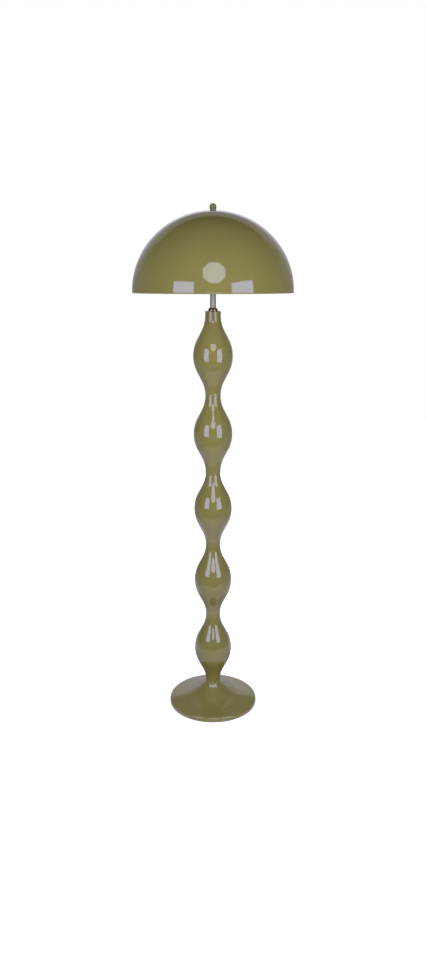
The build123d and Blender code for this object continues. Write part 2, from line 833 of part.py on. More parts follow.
pieces = {
    "felt_pad": felt_pad,
    "base_plate": base_plate,
    "base_plate_screws": base_plate_screws,
    "base_weight": base_weight,
    "base_shell": base_shell,
    "cord_gland": cord_gland,
    "terminal_block": terminal_block,
    "inner_flex": inner_flex,
    "tie_tube": tie_tube,
    "tie_washer": tie_washer,
    "tie_nut": tie_nut,
    "stem_ferrule": stem_ferrule,
    "stem_tube": stem_tube,
    "harp_saddle": harp_saddle,
    "saddle_nut": saddle_nut,
    "harp_loop": harp_loop,
    "harp_sleeve_left": harp_sleeve_left,
    "harp_sleeve_right": harp_sleeve_right,
    "holder_cap": holder_cap,
    "holder_shell": holder_shell,
    "holder_body": holder_body,
    "holder_liner": holder_liner,
    "screw_shell": screw_shell,
    "center_contact": center_contact,
    "switch_shaft": switch_shaft,
    "switch_knob": switch_knob,
    "bulb_contact": bulb_contact,
    "bulb_insulator": bulb_insulator,
    "bulb_cap": bulb_cap,
    "bulb_glass": bulb_glass_shell,
    "swivel_stud": swivel_stud,
    "shade_washer": shade_washer,
    "shade_dome": shade_dome,
    "finial_collar": finial_collar,
    "finial_ball": finial_ball,
}
for index, bobbin in enumerate(bobbins):
    pieces[f"bobbin_{index + 1}"] = bobbin

os.makedirs("parts", exist_ok=True)
for name, piece in pieces.items():
    piece.part.label = name
    export_step(piece.part, f"parts/{name}.step")

print(f"height {finial_top:.1f}, shade rim {dome_z - hem_radius:.1f}, pieces {len(pieces)}")
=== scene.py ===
"""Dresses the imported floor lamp: enamelled bobbin column, flared foot, dome shade and lampholder.

Metres, +Z up, origin on the floor under the foot, front towards -Y. Sizes in the classes are in
millimetres and repeat the part's own. Every new piece is a grid surface worked out with numpy.
"""

import json
import logging
import math
from dataclasses import dataclass, field
from enum import Enum
from typing import Any, Dict, List, Optional, Sequence, Tuple

import bmesh
import bpy
import numpy as np
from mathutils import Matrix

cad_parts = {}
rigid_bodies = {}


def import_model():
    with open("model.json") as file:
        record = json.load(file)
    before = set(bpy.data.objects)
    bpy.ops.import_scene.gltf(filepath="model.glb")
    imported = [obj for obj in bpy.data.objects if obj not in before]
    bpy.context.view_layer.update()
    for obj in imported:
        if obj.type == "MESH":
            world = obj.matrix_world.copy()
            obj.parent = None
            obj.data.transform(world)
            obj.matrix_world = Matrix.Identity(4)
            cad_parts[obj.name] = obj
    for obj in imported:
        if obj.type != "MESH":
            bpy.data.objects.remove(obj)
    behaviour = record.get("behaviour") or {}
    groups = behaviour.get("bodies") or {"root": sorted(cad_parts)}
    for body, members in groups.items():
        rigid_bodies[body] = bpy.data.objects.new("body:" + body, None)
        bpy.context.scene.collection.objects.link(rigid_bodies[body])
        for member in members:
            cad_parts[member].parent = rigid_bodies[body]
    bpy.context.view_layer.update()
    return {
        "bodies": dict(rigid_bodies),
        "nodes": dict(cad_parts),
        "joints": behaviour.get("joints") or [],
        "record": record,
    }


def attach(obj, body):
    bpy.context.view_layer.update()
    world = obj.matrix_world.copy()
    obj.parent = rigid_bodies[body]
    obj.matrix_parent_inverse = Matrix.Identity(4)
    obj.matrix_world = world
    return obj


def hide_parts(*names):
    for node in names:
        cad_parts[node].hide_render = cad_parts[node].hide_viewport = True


MM = 0.001
# Points nearer than this, in metres, are welded.
WELD = 1e-7
# Angle in degrees above which an edge stays sharp.
SHARP = 50.0
# Points on an eased corner, and the most of a side that one may take.
EASE_POINTS = 5
EASE_SHARE = 0.45
# Inner radius of a turned piece that is solid to its axis.
CORE = 0.01
# Range of a noise texture's values that the roughness follows.
NOISE_RANGE = (0.3, 0.7)
LOG = logging.getLogger("floor_lamp")
Array = np.ndarray
Point = Tuple[float, float]
Pair = Tuple[float, float]
Triple = Tuple[float, float, float]
Socket = bpy.types.NodeSocket


def srgb(code: str) -> Tuple[float, ...]:
    """Linear red, green, blue and alpha of an sRGB colour written as "#rrggbb"."""
    part = np.array([int(code[i:i + 2], 16) for i in (1, 3, 5)]) / 255.0
    line = np.where(part <= 0.04045, part / 12.92, ((part + 0.055) / 1.055) ** 2.4)
    return (*line.tolist(), 1.0)


@dataclass
class Nodes:
    """Builder that adds nodes to one shader tree."""

    tree: bpy.types.NodeTree

    @classmethod
    def on(cls, owner: Any) -> "Nodes":
        """Start an empty tree on a material or a world."""
        owner.use_nodes = True
        owner.node_tree.nodes.clear()
        return cls(owner.node_tree)

    def feed(self, node: bpy.types.Node, inputs: Dict[Any, Any]) -> None:
        """Set a node's sockets, by name or number, to values or to the sockets that feed them."""
        for key, value in inputs.items():
            if isinstance(value, Socket):
                self.tree.links.new(value, node.inputs[key])
            else:
                node.inputs[key].default_value = value

    def add(self, kind: str, inputs: Optional[Dict[Any, Any]] = None,
            **settings: Any) -> bpy.types.Node:
        """Add a node, its type named without "ShaderNode", with its sockets and attributes set."""
        node = self.tree.nodes.new(f"ShaderNode{kind}")
        for key, value in settings.items():
            setattr(node, key, value)
        self.feed(node, inputs or {})
        return node

    def math(self, operation: str, *values: Any) -> Socket:
        """Result of one Math node."""
        return self.add("Math", dict(enumerate(values)), operation=operation).outputs[0]

    def ramp(self, value: Socket, start: float, end: float, low: Any = 0.0,
             high: Any = 1.0, **settings: Any) -> Socket:
        """Value that runs from low to high while the given one runs from start to end."""
        return self.add("MapRange", {"Value": value, "From Min": start, "From Max": end,
                                     "To Min": low, "To Max": high}, **settings).outputs[0]

    def mix(self, share: Socket, first: Any, second: Any) -> Socket:
        """Colour between two colours."""
        return self.add("Mix", {0: share, 6: first, 7: second}, data_type="RGBA").outputs[2]


class Body(Enum):
    """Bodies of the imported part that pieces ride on."""

    STAND = "stand"
    SHADE = "shade"
    FINIAL = "finial"
    SWITCH = "switch"
    BULB_FOOT = "bulb_foot"
    BULB = "bulb"
    SLEEVE_LEFT = "sleeve_left"
    SLEEVE_RIGHT = "sleeve_right"


class Axis(Enum):
    """Axis that a turned piece is turned about."""

    UP = "up"
    FRONT = "front"


# Finishes


@dataclass(frozen=True)
class Finish:
    """A surface finish: a record slot and a procedural material.

    Attributes:
        name: common name of the real material.
        slot: material slot of the record; not used by this script.
        colour: main colour, sRGB hex.
        tint: second colour of the slow variation, sRGB hex.
        patch: size of the colour patches in millimetres.
        grain: size of the surface's fine relief in millimetres.
        relief: height of that relief in millimetres.
        rough: lowest and highest roughness.
        metallic: 1 for bare metal.
        sockets: plain values set on the shader's own sockets.
        stretch: scale of the pattern along X, Y and Z.
    """

    name: str
    slot: str
    colour: str
    tint: str
    patch: float = 40.0
    grain: float = 2.0
    relief: float = 0.01
    rough: Pair = (0.3, 0.4)
    metallic: float = 0.0
    sockets: Tuple[Tuple[str, Any], ...] = ()
    stretch: Triple = (1.0, 1.0, 1.0)

    def material(self) -> bpy.types.Material:
        """Return the finish's material, made on the first call."""
        known = bpy.data.materials.get(self.name)
        if known:
            return known
        material = bpy.data.materials.new(self.name)
        nodes = Nodes.on(material)
        place = nodes.add("TexCoord").outputs["Object"]
        place = nodes.add("Mapping", {"Vector": place, "Scale": self.stretch}).outputs["Vector"]
        shader = nodes.add("BsdfPrincipled", {"Metallic": self.metallic, **dict(self.sockets)})
        self.dress(nodes, place, shader)
        nodes.add("OutputMaterial", {"Surface": shader.outputs["BSDF"]})
        return material

    def dress(self, nodes: Nodes, place: Socket, shader: bpy.types.Node) -> None:
        """Feed colour, roughness and relief into the shader: slow patches and a fine grain.

        Args:
            nodes: builder of the material's tree.
            place: pattern coordinates in metres.
            shader: Principled shader to feed.
        """
        slow, fine = [nodes.add("TexNoise", {"Vector": place, "Scale": 1.0 / (size * MM),
                                             "Detail": detail}).outputs["Fac"]
                      for size, detail in ((self.patch, 3.0), (self.grain, 2.0))]
        bump = nodes.add("Bump", {"Height": fine, "Strength": 1.0, "Distance": self.relief * MM})
        nodes.feed(shader, {
            "Base Color": nodes.mix(slow, srgb(self.colour), srgb(self.tint)),
            "Roughness": nodes.ramp(fine, *NOISE_RANGE, *self.rough),
            "Normal": bump.outputs["Normal"]})


@dataclass(frozen=True)
class WarmedEnamel(Finish):
    """White stove enamel that has yellowed a little above the bulb.

    Attributes:
        low: height in millimetres where the yellowing starts.
        high: height in millimetres where it is full.
        warm: colour of the yellowed enamel, sRGB hex.
    """

    low: float = 1340.0
    high: float = 1475.0
    warm: str = "#ece0c4"

    def dress(self, nodes: Nodes, place: Socket, shader: bpy.types.Node) -> None:
        """Add the warm tone by height to the plain enamel."""
        super().dress(nodes, place, shader)
        height = nodes.add("SeparateXYZ", {0: place}).outputs["Z"]
        share = nodes.ramp(height, self.low * MM, self.high * MM)
        cold = shader.inputs["Base Color"].links[0].from_socket
        nodes.feed(shader, {"Base Color": nodes.mix(share, cold, srgb(self.warm))})


@dataclass(frozen=True)
class Spangle(Finish):
    """Zinc on steel: small crystal plates, each with its own tone and gloss."""

    def dress(self, nodes: Nodes, place: Socket, shader: bpy.types.Node) -> None:
        """Give every cell of a Voronoi pattern its own tone and roughness."""
        super().dress(nodes, place, shader)
        cell = nodes.add("TexVoronoi", {"Vector": place, "Scale": 1.0 / (self.patch * MM)})
        tone = nodes.add("SeparateColor", {0: cell.outputs["Color"]}).outputs[0]
        nodes.feed(shader, {"Base Color": nodes.mix(tone, srgb(self.colour), srgb(self.tint)),
                            "Roughness": nodes.ramp(tone, 0.0, 1.0, *self.rough)})


# Gloss stove enamel on spun steel: deep colour, mirror-like, with a faint orange peel.
OLIVE = Finish("olive_stove_enamel", "olive_enamel", "#857b3a", "#877d3d", patch=90.0, grain=3.2,
               relief=0.0022, rough=(0.05, 0.075))
# White stove enamel inside the shade: a soft gloss, warmer where the bulb has heated it.
WHITE = WarmedEnamel("white_stove_enamel", "olive_enamel", "#f3eacc", "#eee4c5", patch=70.0,
                     grain=2.5, relief=0.004, rough=(0.28, 0.36))
# Nickel plate on drawn tube: a warm grey mirror, blurred along fine drawing lines.
NICKEL = Finish("nickel_plate_drawn", "nickel_plate", "#867c61", "#7c7359", patch=16.0, grain=0.5,
                relief=0.0006, rough=(0.2, 0.26), metallic=1.0, stretch=(1.0, 1.0, 0.06))
# Zinc plated steel: dull bluish grey with small bright crystals.
ZINC = Spangle("zinc_plated_steel", "zinc_steel", "#a9adb0", "#c3c1b6", patch=1.6, grain=0.4,
               relief=0.003, rough=(0.26, 0.42), metallic=1.0)
# Grey cast iron as it leaves the sand: dark, coarse and matt.
IRON = Finish("sand_cast_iron", "cast_iron", "#3b3a3a", "#4a4643", patch=12.0, grain=1.2,
              relief=0.16, rough=(0.62, 0.82), metallic=0.6)
# Pressed wool felt: dark green, with a nap that catches light at its edge.
FELT = Finish("pressed_wool_felt", "felt", "#2c3529", "#3a4435", patch=3.0, grain=0.5, relief=0.2,
              rough=(0.92, 1.0), sockets=(("Sheen Weight", 0.5), ("Sheen Roughness", 0.5)))
# Moulded rubber: black and matt, with the fine grain of the mould.
RUBBER = Finish("moulded_rubber", "black_rubber", "#191919", "#222120", patch=8.0, grain=0.5,
                relief=0.02, rough=(0.5, 0.64))
# Phenolic moulding: near-black brown with swirls of filler under a worn gloss.
PHENOLIC = Finish("phenolic_moulding", "black_phenolic", "#1a1412", "#2a1f19", patch=5.0,
                  grain=0.9, relief=0.004, rough=(0.2, 0.32), stretch=(1.0, 1.0, 0.35))
# White polyamide of the terminals: waxy, faintly yellow.
POLYAMIDE = Finish("white_polyamide", "white_terminal", "#e6e2d6", "#dcd6c6", patch=9.0, grain=0.6,
                   relief=0.008, rough=(0.4, 0.5))
# PVC sheath of the flex: soft grey plastic with a light extrusion grain.
SHEATH = Finish("pvc_sheath", "flex_sheath", "#8f8f8c", "#999894", patch=10.0, grain=0.8,
                relief=0.008, rough=(0.42, 0.52))
# Rolled brass: yellow and satin, dulled in soft clouds.
BRASS = Finish("rolled_brass", "brass", "#c9a85c", "#b08c48", patch=9.0, grain=0.45, relief=0.0015,
               rough=(0.18, 0.32), metallic=1.0)
# Vulcanised fibre: grey-brown pressed paper with short fibres.
FIBRE = Finish("vulcanised_fibre", "fibre_liner", "#7a6a58", "#8c7b66", patch=2.2, grain=0.35,
               relief=0.03, rough=(0.66, 0.8), stretch=(1.0, 1.0, 0.3))
# Opal glass of the bulb: milky white under a smooth skin.
OPAL = Finish("opal_glass", "opal_glass", "#f2efe8", "#e9e6de", patch=30.0, grain=4.0,
              relief=0.001, rough=(0.08, 0.12),
              sockets=(("Subsurface Weight", 0.35), ("Subsurface Radius", (0.004, 0.004, 0.003)),
                       ("IOR", 1.52)))
# Lead-tin solder of the bulb's tip: grey, soft and slightly lumpy.
SOLDER = Finish("soft_solder", "brass", "#a8a6a2", "#989691", patch=3.0, grain=0.7, relief=0.03,
                rough=(0.3, 0.42), metallic=1.0)
# Black glass between the tip and the cap of the bulb.
VITRITE = Finish("black_vitrite", "black_phenolic", "#0f0e10", "#17161a", patch=4.0, grain=1.0,
                 relief=0.006, rough=(0.1, 0.2))


# Shapes


def oval(center: Point, wide: float, rise: float, turn: Array) -> Array:
    """Points on an ellipse about center with half-axes wide and rise, at angles in radians."""
    return np.stack([center[0] + wide * np.cos(turn), center[1] + rise * np.sin(turn)], -1)


def arc(center: Point, radius: float, start: float, end: float, count: int) -> Array:
    """Points on a circle about center, from one angle to the other in degrees."""
    return oval(center, radius, radius, np.radians(np.linspace(start, end, count)))


def bush(inner: float, outer: float, low: float, high: float) -> List[Point]:
    """Section of a plain bush, from its inner foot round to its inner top."""
    return [(inner, low), (outer, low), (outer, high), (inner, high)]


def eased(corners: Sequence[Point], radius: float) -> Array:
    """Closed polygon with every corner cut back and bridged by a parabola.

    Each corner P becomes (1-s)^2 A + 2 s (1-s) P + s^2 B, where A and B lie on its two sides,
    radius away from P, or a set share of the side where that is shorter.

    Args:
        corners: corner points in order.
        radius: how far from the corner the bridge starts.

    Returns:
        Array of points, shape (n, 2).
    """
    spot = np.array(corners, float)
    ends = []
    for step in (1, -1):
        side = np.roll(spot, step, 0) - spot
        length = np.linalg.norm(side, axis=1, keepdims=True)
        ends.append((spot + side / length * np.minimum(radius, EASE_SHARE * length))[:, None])
    s = np.linspace(0.0, 1.0, EASE_POINTS)[None, :, None]
    bridge = (1 - s) ** 2 * ends[0] + 2 * s * (1 - s) * spot[:, None] + s**2 * ends[1]
    return bridge.reshape(-1, 2)


def tangent_normal(convex: Point, concave: Point, radii: float) -> float:
    """Angle above level of the normal of the line that touches two arcs whose radii add to radii."""
    run, rise = concave[0] - convex[0], concave[1] - convex[1]
    return math.degrees(math.atan2(rise, run) - math.acos(radii / math.hypot(run, rise)))


def round_box(half_x: Array, half_y: Array, radius: Array, count: int = 5) -> Array:
    """Outlines of rectangles with round corners, one for each row of the sizes.

    A corner's points are its centre, radius inside both sides, plus radius (cos, sin).

    Args:
        half_x: half of each width.
        half_y: half of each depth.
        radius: corner radius of each.
        count: points on a corner.

    Returns:
        Array of points, shape (rows, 4 * count, 2), anticlockwise.
    """
    half_x, half_y, radius = np.broadcast_arrays(*(np.atleast_1d(v).astype(float)
                                                   for v in (half_x, half_y, radius)))
    turn = np.radians(np.concatenate([np.linspace(q, q + 90, count) for q in (0, 90, 180, 270)]))
    side_x = np.repeat([1.0, -1.0, -1.0, 1.0], count)
    side_y = np.repeat([1.0, 1.0, -1.0, -1.0], count)
    x = side_x * (half_x - radius)[:, None] + radius[:, None] * np.cos(turn)
    y = side_y * (half_y - radius)[:, None] + radius[:, None] * np.sin(turn)
    return np.stack([x, y], -1)


@dataclass
class Surface:
    """A grid of points in millimetres that becomes quads; its last column joins the first.

    Attributes:
        points: shape (rows, columns, 3).
        close_rows: whether the last row joins the first.
        caps: whether the first and last rows are closed by a flat face.
        keep: mask of the quads that are kept, shape (row steps, column steps).
        row_finish: finish number of each row step.
        extra: further faces as point numbers.
    """

    points: Array
    close_rows: bool = False
    caps: bool = False
    keep: Optional[Array] = None
    row_finish: Optional[Array] = None
    extra: List[Tuple[int, ...]] = field(default_factory=list)

    def faces(self) -> Tuple[List[Tuple[int, ...]], List[int]]:
        """Return the faces as point numbers, and the finish number of each."""
        rows, columns = self.points.shape[:2]
        row = np.arange(rows if self.close_rows else rows - 1)
        i, j = np.meshgrid(row, np.arange(columns), indexing="ij")
        i_next, j_next = (i + 1) % rows, (j + 1) % columns
        quads = np.stack([i * columns + j, i * columns + j_next, i_next * columns + j_next,
                          i_next * columns + j], -1)
        finish = np.zeros(i.shape, int) if self.row_finish is None else (
            np.broadcast_to(self.row_finish[:, None], i.shape))
        if self.keep is not None:
            quads, finish = quads[self.keep], finish[self.keep]
        faces = [tuple(q) for q in quads.reshape(-1, 4).tolist()]
        if self.caps:
            faces.append(tuple(range(columns))[::-1])
            faces.append(tuple(range((rows - 1) * columns, rows * columns)))
        faces.extend(self.extra)
        marks = finish.reshape(-1).tolist()
        return faces, marks + [0] * (len(faces) - len(marks))

    def roll_thread(self, low: float, high: float, run_out: float, depth: float, pitch: float,
                    core: float = 0.0) -> "Surface":
        """Roll a round thread into a surface that was turned about Z, and return the surface.

        From low to high the radius gains depth * cos(2 pi height / pitch - angle). The thread
        fades over the run-out at both ends and towards the core, a radius inside it.
        """
        x, y, z = np.moveaxis(self.points, -1, 0)
        turn, radius = np.arctan2(y, x), np.hypot(x, y)
        fade = np.clip((z - low) / run_out, 0, 1) * np.clip((high - z) / run_out, 0, 1)
        fade = fade * np.clip((radius - core) / run_out, 0, 1)
        new = radius + depth * fade * np.cos(2 * math.pi * z / pitch - turn)
        self.points = np.stack([new * np.cos(turn), new * np.sin(turn), z], -1)
        return self


def lathe(profile: Array, segments: int = 192, closed: bool = True, axis: Axis = Axis.UP,
          center: Triple = (0.0, 0.0, 0.0),
          angles: Optional[Array] = None) -> Surface:
    """Turned surface: each profile point (r, h) goes round as (r cos t, r sin t, h).

    Args:
        profile: radius and height of each row; its inside lies to the left of its run.
        segments: columns round the axis.
        closed: whether the profile is a closed loop.
        axis: axis of turning; for FRONT, height runs towards -Y.
        center: foot of the axis.
        angles: own column angles in radians.

    Returns:
        The surface.
    """
    turn = np.linspace(0, 2 * math.pi, segments, endpoint=False) if angles is None else angles
    radius, height = profile[:, :1], np.broadcast_to(profile[:, 1:], (len(profile), len(turn)))
    if axis is Axis.UP:
        points = np.stack([radius * np.cos(turn), radius * np.sin(turn), height], -1)
    else:
        points = np.stack([radius * np.cos(turn), -height, radius * np.sin(turn)], -1)
    return Surface(points + np.array(center), close_rows=closed)


def swept_strip(path: Array, half_thick: float, half_wide: Array, corner: float) -> Surface:
    """Flat strip carried along a path in the XZ plane.

    At each station the section is a round-cornered rectangle: half_thick along the path's
    normal, half_wide along Y.

    Args:
        path: stations as X and Z, shape (n, 2).
        half_thick: half of the strip's thickness.
        half_wide: half of its width at each station.
        corner: corner radius of the section.

    Returns:
        The surface, closed at both ends.
    """
    along = np.gradient(path, axis=0)
    along /= np.linalg.norm(along, axis=1, keepdims=True)
    normal = np.stack([-along[:, 1], along[:, 0]], -1)
    section = round_box(np.full(len(path), half_thick), half_wide, np.full(len(path), corner))
    x = path[:, :1] + normal[:, :1] * section[..., 0]
    z = path[:, 1:] + normal[:, 1:] * section[..., 0]
    return Surface(np.stack([x, section[..., 1], z], -1), caps=True)


def dense(profile: Array, step: float) -> Array:
    """Polyline with points added, so that none of its steps is longer than step."""
    gap = np.linalg.norm(np.diff(profile, axis=0), axis=1)
    parts = np.maximum(np.ceil(gap / step).astype(int), 1)
    place = np.concatenate([[0], np.cumsum(parts)])
    where = np.arange(place[-1] + 1)
    return np.stack([np.interp(where, place, profile[:, k]) for k in (0, 1)], -1)


@dataclass
class SubAssembly:
    """A group of pieces that are built and dressed together.

    Attributes:
        pieces: names of the pieces made so far.
    """

    frame: Dict[str, Any]
    pieces: List[str] = field(default_factory=list)

    def add(self, name: str, node: str, surfaces: Sequence[Surface], *finishes: Finish,
            body: Body = Body.STAND) -> None:
        """Turn surfaces into one object that stands for a CAD node and rides on a body.

        Args:
            name: name of the piece.
            node: CAD node that it replaces.
            surfaces: grid surfaces in millimetres.
            finishes: finishes in the order of the surfaces' finish numbers.
            body: body that the piece moves with.
        """
        points: List[Array] = []
        faces: List[Tuple[int, ...]] = []
        marks: List[int] = []
        start = 0
        for surface in surfaces:
            new_faces, new_marks = surface.faces()
            points.append(surface.points.reshape(-1, 3) * MM)
            faces.extend(tuple(k + start for k in face) for face in new_faces)
            marks.extend(new_marks)
            start += len(points[-1])
        mesh = bpy.data.meshes.new(name)
        mesh.from_pydata(np.concatenate(points), [], faces)
        mesh.polygons.foreach_set("material_index", marks)
        for finish in finishes:
            mesh.materials.append(finish.material())
        shell = bmesh.new()
        shell.from_mesh(mesh)
        bmesh.ops.remove_doubles(shell, verts=shell.verts, dist=WELD)
        bmesh.ops.recalc_face_normals(shell, faces=shell.faces)
        shell.to_mesh(mesh)
        shell.free()
        mesh.shade_smooth()
        mesh.set_sharp_from_angle(angle=math.radians(SHARP))
        piece = bpy.data.objects.new(name, mesh)
        bpy.context.scene.collection.objects.link(piece)
        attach(piece, body.value)
        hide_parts(node)
        self.pieces.append(name)
        LOG.info("%s: %d faces on %s", name, len(mesh.polygons), body.value)

    def turned(self, name: str, node: str, corners: Sequence[Point], ease: float, finish: Finish,
               body: Body = Body.STAND, segments: int = 192) -> None:
        """Add a piece turned about Z from a section whose corners are eased."""
        self.add(name, node, [lathe(eased(corners, ease), segments)], finish, body=body)

    def coat(self, finish: Finish, *nodes: str) -> None:
        """Give CAD nodes that stay as they are a finish."""
        for name in nodes:
            for place in self.frame["nodes"][name].material_slots:
                place.material = finish.material()
            LOG.info("%s keeps its solid, in %s", name, finish.name)


# Foot and column


@dataclass
class Foot(SubAssembly):
    """Flared foot: spun shell, weight, plate, felt and cord gland."""

    radius: float = 136.0
    wall: float = 1.2
    gap: float = 0.5
    wall_row: float = 5.0
    edge_radius: float = 9.0
    edge_height: float = 7.0
    tilt: float = 7.0
    ring: float = 30.0
    flare_radius: float = 14.0
    neck: float = 1.0
    neck_radius: float = 22.0
    height: float = 72.0
    flange: float = 4.0
    plate_radius: float = 130.8
    plate_z: float = 2.5
    plate_top: float = 4.0
    felt_radius: float = 128.3
    felt_width: float = 24.0
    felt_ease: float = 0.5
    plate_ease: float = 0.3
    bead: float = 0.7
    beads: Tuple[Pair, ...] = ((60.0, 3.5), (98.0, 3.0))
    screw_circle: float = 88.0
    screw_turns: Tuple[float, ...] = (-90.0, 30.0, 150.0)
    screw_head: float = 4.0
    screw_rise: float = 2.0
    screw_shank: float = 2.0
    screw_length: float = 6.5
    slot_half: float = 0.55
    slot_reach: float = 2.3
    gland_z: float = 7.0
    gland_half: float = 3.9
    gland_lip: float = 1.8
    gland_bore: float = 2.6
    gland_flange: float = 2.0
    slip: float = 0.2
    bore: float = 5.2
    columns: int = 285
    notch_columns: int = 4
    notch_rows: int = 7

    def side(self, inset: float) -> Array:
        """Side of the foot moved in by inset: wall, round edge, ring, sweep, flare and neck.

        The ring rises inwards at a small tilt t, and the sweep runs on from it into the flare.
        With the flare's centre run inside and rise above the sweep's start, and its radius f,
        the sweep's radius is (run^2 + rise^2 - f^2) / (2 (rise cos t - run sin t - f)).

        Args:
            inset: distance inside the outer face.

        Returns:
            Profile from the lower edge to the neck.
        """
        edge = (self.radius - self.edge_radius, self.edge_height)
        flare = (self.neck_radius + self.flare_radius, self.height - self.neck)
        across, up = math.sin(math.radians(self.tilt)), math.cos(math.radians(self.tilt))
        start = (edge[0] + self.edge_radius * across - self.ring * up,
                 edge[1] + self.edge_radius * up + self.ring * across)
        run, rise = start[0] - flare[0], flare[1] - start[1]
        sweep = ((run**2 + rise**2 - self.flare_radius**2)
                 / (2 * (rise * up - run * across - self.flare_radius)))
        center = (start[0] + sweep * across, start[1] + sweep * up)
        meet = math.degrees(math.atan2(center[1] - flare[1], center[0] - flare[0]))
        notch = self.gland_z + self.gland_half + self.slip
        split = math.degrees(math.asin((notch - edge[1]) / (self.edge_radius - inset)))
        return np.concatenate([
            np.array([(self.radius - inset, self.gap), (self.radius - inset, self.wall_row)]),
            arc(edge, self.edge_radius - inset, 0, split, 6)[:-1],
            arc(edge, self.edge_radius - inset, split, 90 - self.tilt, 20),
            arc(center, sweep + inset, 270 - self.tilt, 180 + meet, 90)[:-1],
            arc(flare, self.flare_radius + inset, 180 + meet, 180, 48),
            np.array([(self.neck_radius - inset, self.height - inset)]),
        ])

    def build(self) -> None:
        """Build and dress every piece of the foot."""
        self.build_shell()
        self.build_gland()
        self.build_bottom()
        self.coat(IRON, "base_weight")
        self.coat(POLYAMIDE, "terminal_block")
        self.coat(SHEATH, "inner_flex")
        self.coat(ZINC, "tie_tube", "tie_washer", "tie_nut")

    def build_shell(self) -> None:
        """Turn outer and inner side as one closed loop, with the notch for the gland cut out.

        The notch is a run of columns at the back. Quads below its top are left out there, and
        its sides and its top are closed by faces between the outer and the inner wall.
        """
        inner = self.side(self.wall)[::-1]
        top = [(self.bore, self.height), (self.bore, self.height - self.flange)]
        half = math.asin((self.gland_half + self.slip) / self.radius)
        notch = np.linspace(-half, half, self.notch_columns + 1)
        rest = np.linspace(half, 2 * math.pi - half, self.columns)[1:-1]
        surface = lathe(np.concatenate([self.side(0.0), top, inner[1:]]),
                        angles=np.concatenate([notch, rest]) + math.pi / 2)
        rows, columns = surface.points.shape[:2]
        high, low, last = self.notch_rows, rows - self.notch_rows - 1, self.notch_columns
        low_rows = np.concatenate([np.arange(high), np.arange(low, rows)])
        surface.keep = np.ones((rows, columns), bool)
        surface.keep[np.ix_(low_rows, np.arange(last))] = False
        loop = np.concatenate([np.arange(low, rows), np.arange(high + 1)]) * columns
        surface.extra = [tuple(loop.tolist()), tuple((loop + last)[::-1].tolist())]
        high, low = high * columns, low * columns
        surface.extra += [(high + k, high + k + 1, low + k + 1, low + k) for k in range(last)]
        self.add("foot_shell", "base_shell", [surface], OLIVE)

    def build_gland(self) -> None:
        """Rubber gland: round-cornered sections along Y, from the bore round to the bore again.

        The rows are a bore circle at the inner end, the ear, the waist in the wall, the flange
        with a rounded rim, and a bore circle at the outer end; the last row joins the first.
        """
        back = self.radius + self.gland_flange + self.slip
        wall_in = self.radius - self.wall - 2 * self.slip
        inner = wall_in - self.gland_flange
        half, wide = self.gland_half, self.gland_half + self.gland_lip
        rows = np.array([
            (inner, half - 0.5, half - 0.5), (inner, wide - 0.5, half - 0.4),
            (inner + 0.4, wide, half), (wall_in - 0.3, wide, half), (wall_in, wide - 0.3, half),
            (wall_in + 0.01, half, half), (self.radius + self.slip, half, half),
            (self.radius + self.slip + 0.01, wide - 0.2, half),
            (self.radius + self.slip + 0.3, wide, half), (back - 0.7, wide, half),
            (back - 0.3, wide - 0.25, half - 0.25), (back, wide - 0.8, half - 0.8),
            (back, half - 0.9, half - 0.9)])
        section = round_box(rows[:, 1], rows[:, 2], np.minimum(rows[:, 1], rows[:, 2]) * 0.55, 8)
        bore = round_box(self.gland_bore, self.gland_bore, self.gland_bore, 8)
        outline = np.concatenate([section, bore, bore])
        y = np.concatenate([rows[:, 0], [back, inner]])
        points = np.stack([outline[..., 0], np.broadcast_to(y[:, None], outline.shape[:2]),
                           outline[..., 1] + self.gland_z], -1)
        self.add("gland_rubber", "cord_gland", [Surface(points, close_rows=True)], RUBBER)

    def build_bottom(self) -> None:
        """Felt ring, pressed bottom plate with raised beads, and three pan-head screws."""
        felt = bush(self.felt_radius - self.felt_width, self.felt_radius, 0.0, self.plate_z)
        self.turned("felt_ring", "felt_pad", felt, self.felt_ease, FELT)
        edge, ease = self.plate_radius, self.plate_ease
        radius = np.linspace(0, edge - ease, 160)
        bead = sum(self.bead * np.exp(-((radius - middle) / width) ** 2)
                   for middle, width in self.beads)
        under = np.stack([radius, self.plate_z + bead], -1)
        rim = [(edge, self.plate_z + 0.4), (edge, self.plate_top - ease),
               (edge - ease, self.plate_top)]
        over = np.stack([radius, np.full_like(radius, self.plate_top)], -1)[::-1]
        plate = lathe(np.concatenate([under, rim, over]), closed=False)
        self.add("bottom_plate", "base_plate", [plate], ZINC)
        heads = [self.screw(math.radians(turn)) for turn in self.screw_turns]
        self.add("plate_screws", "base_plate_screws", heads, ZINC)

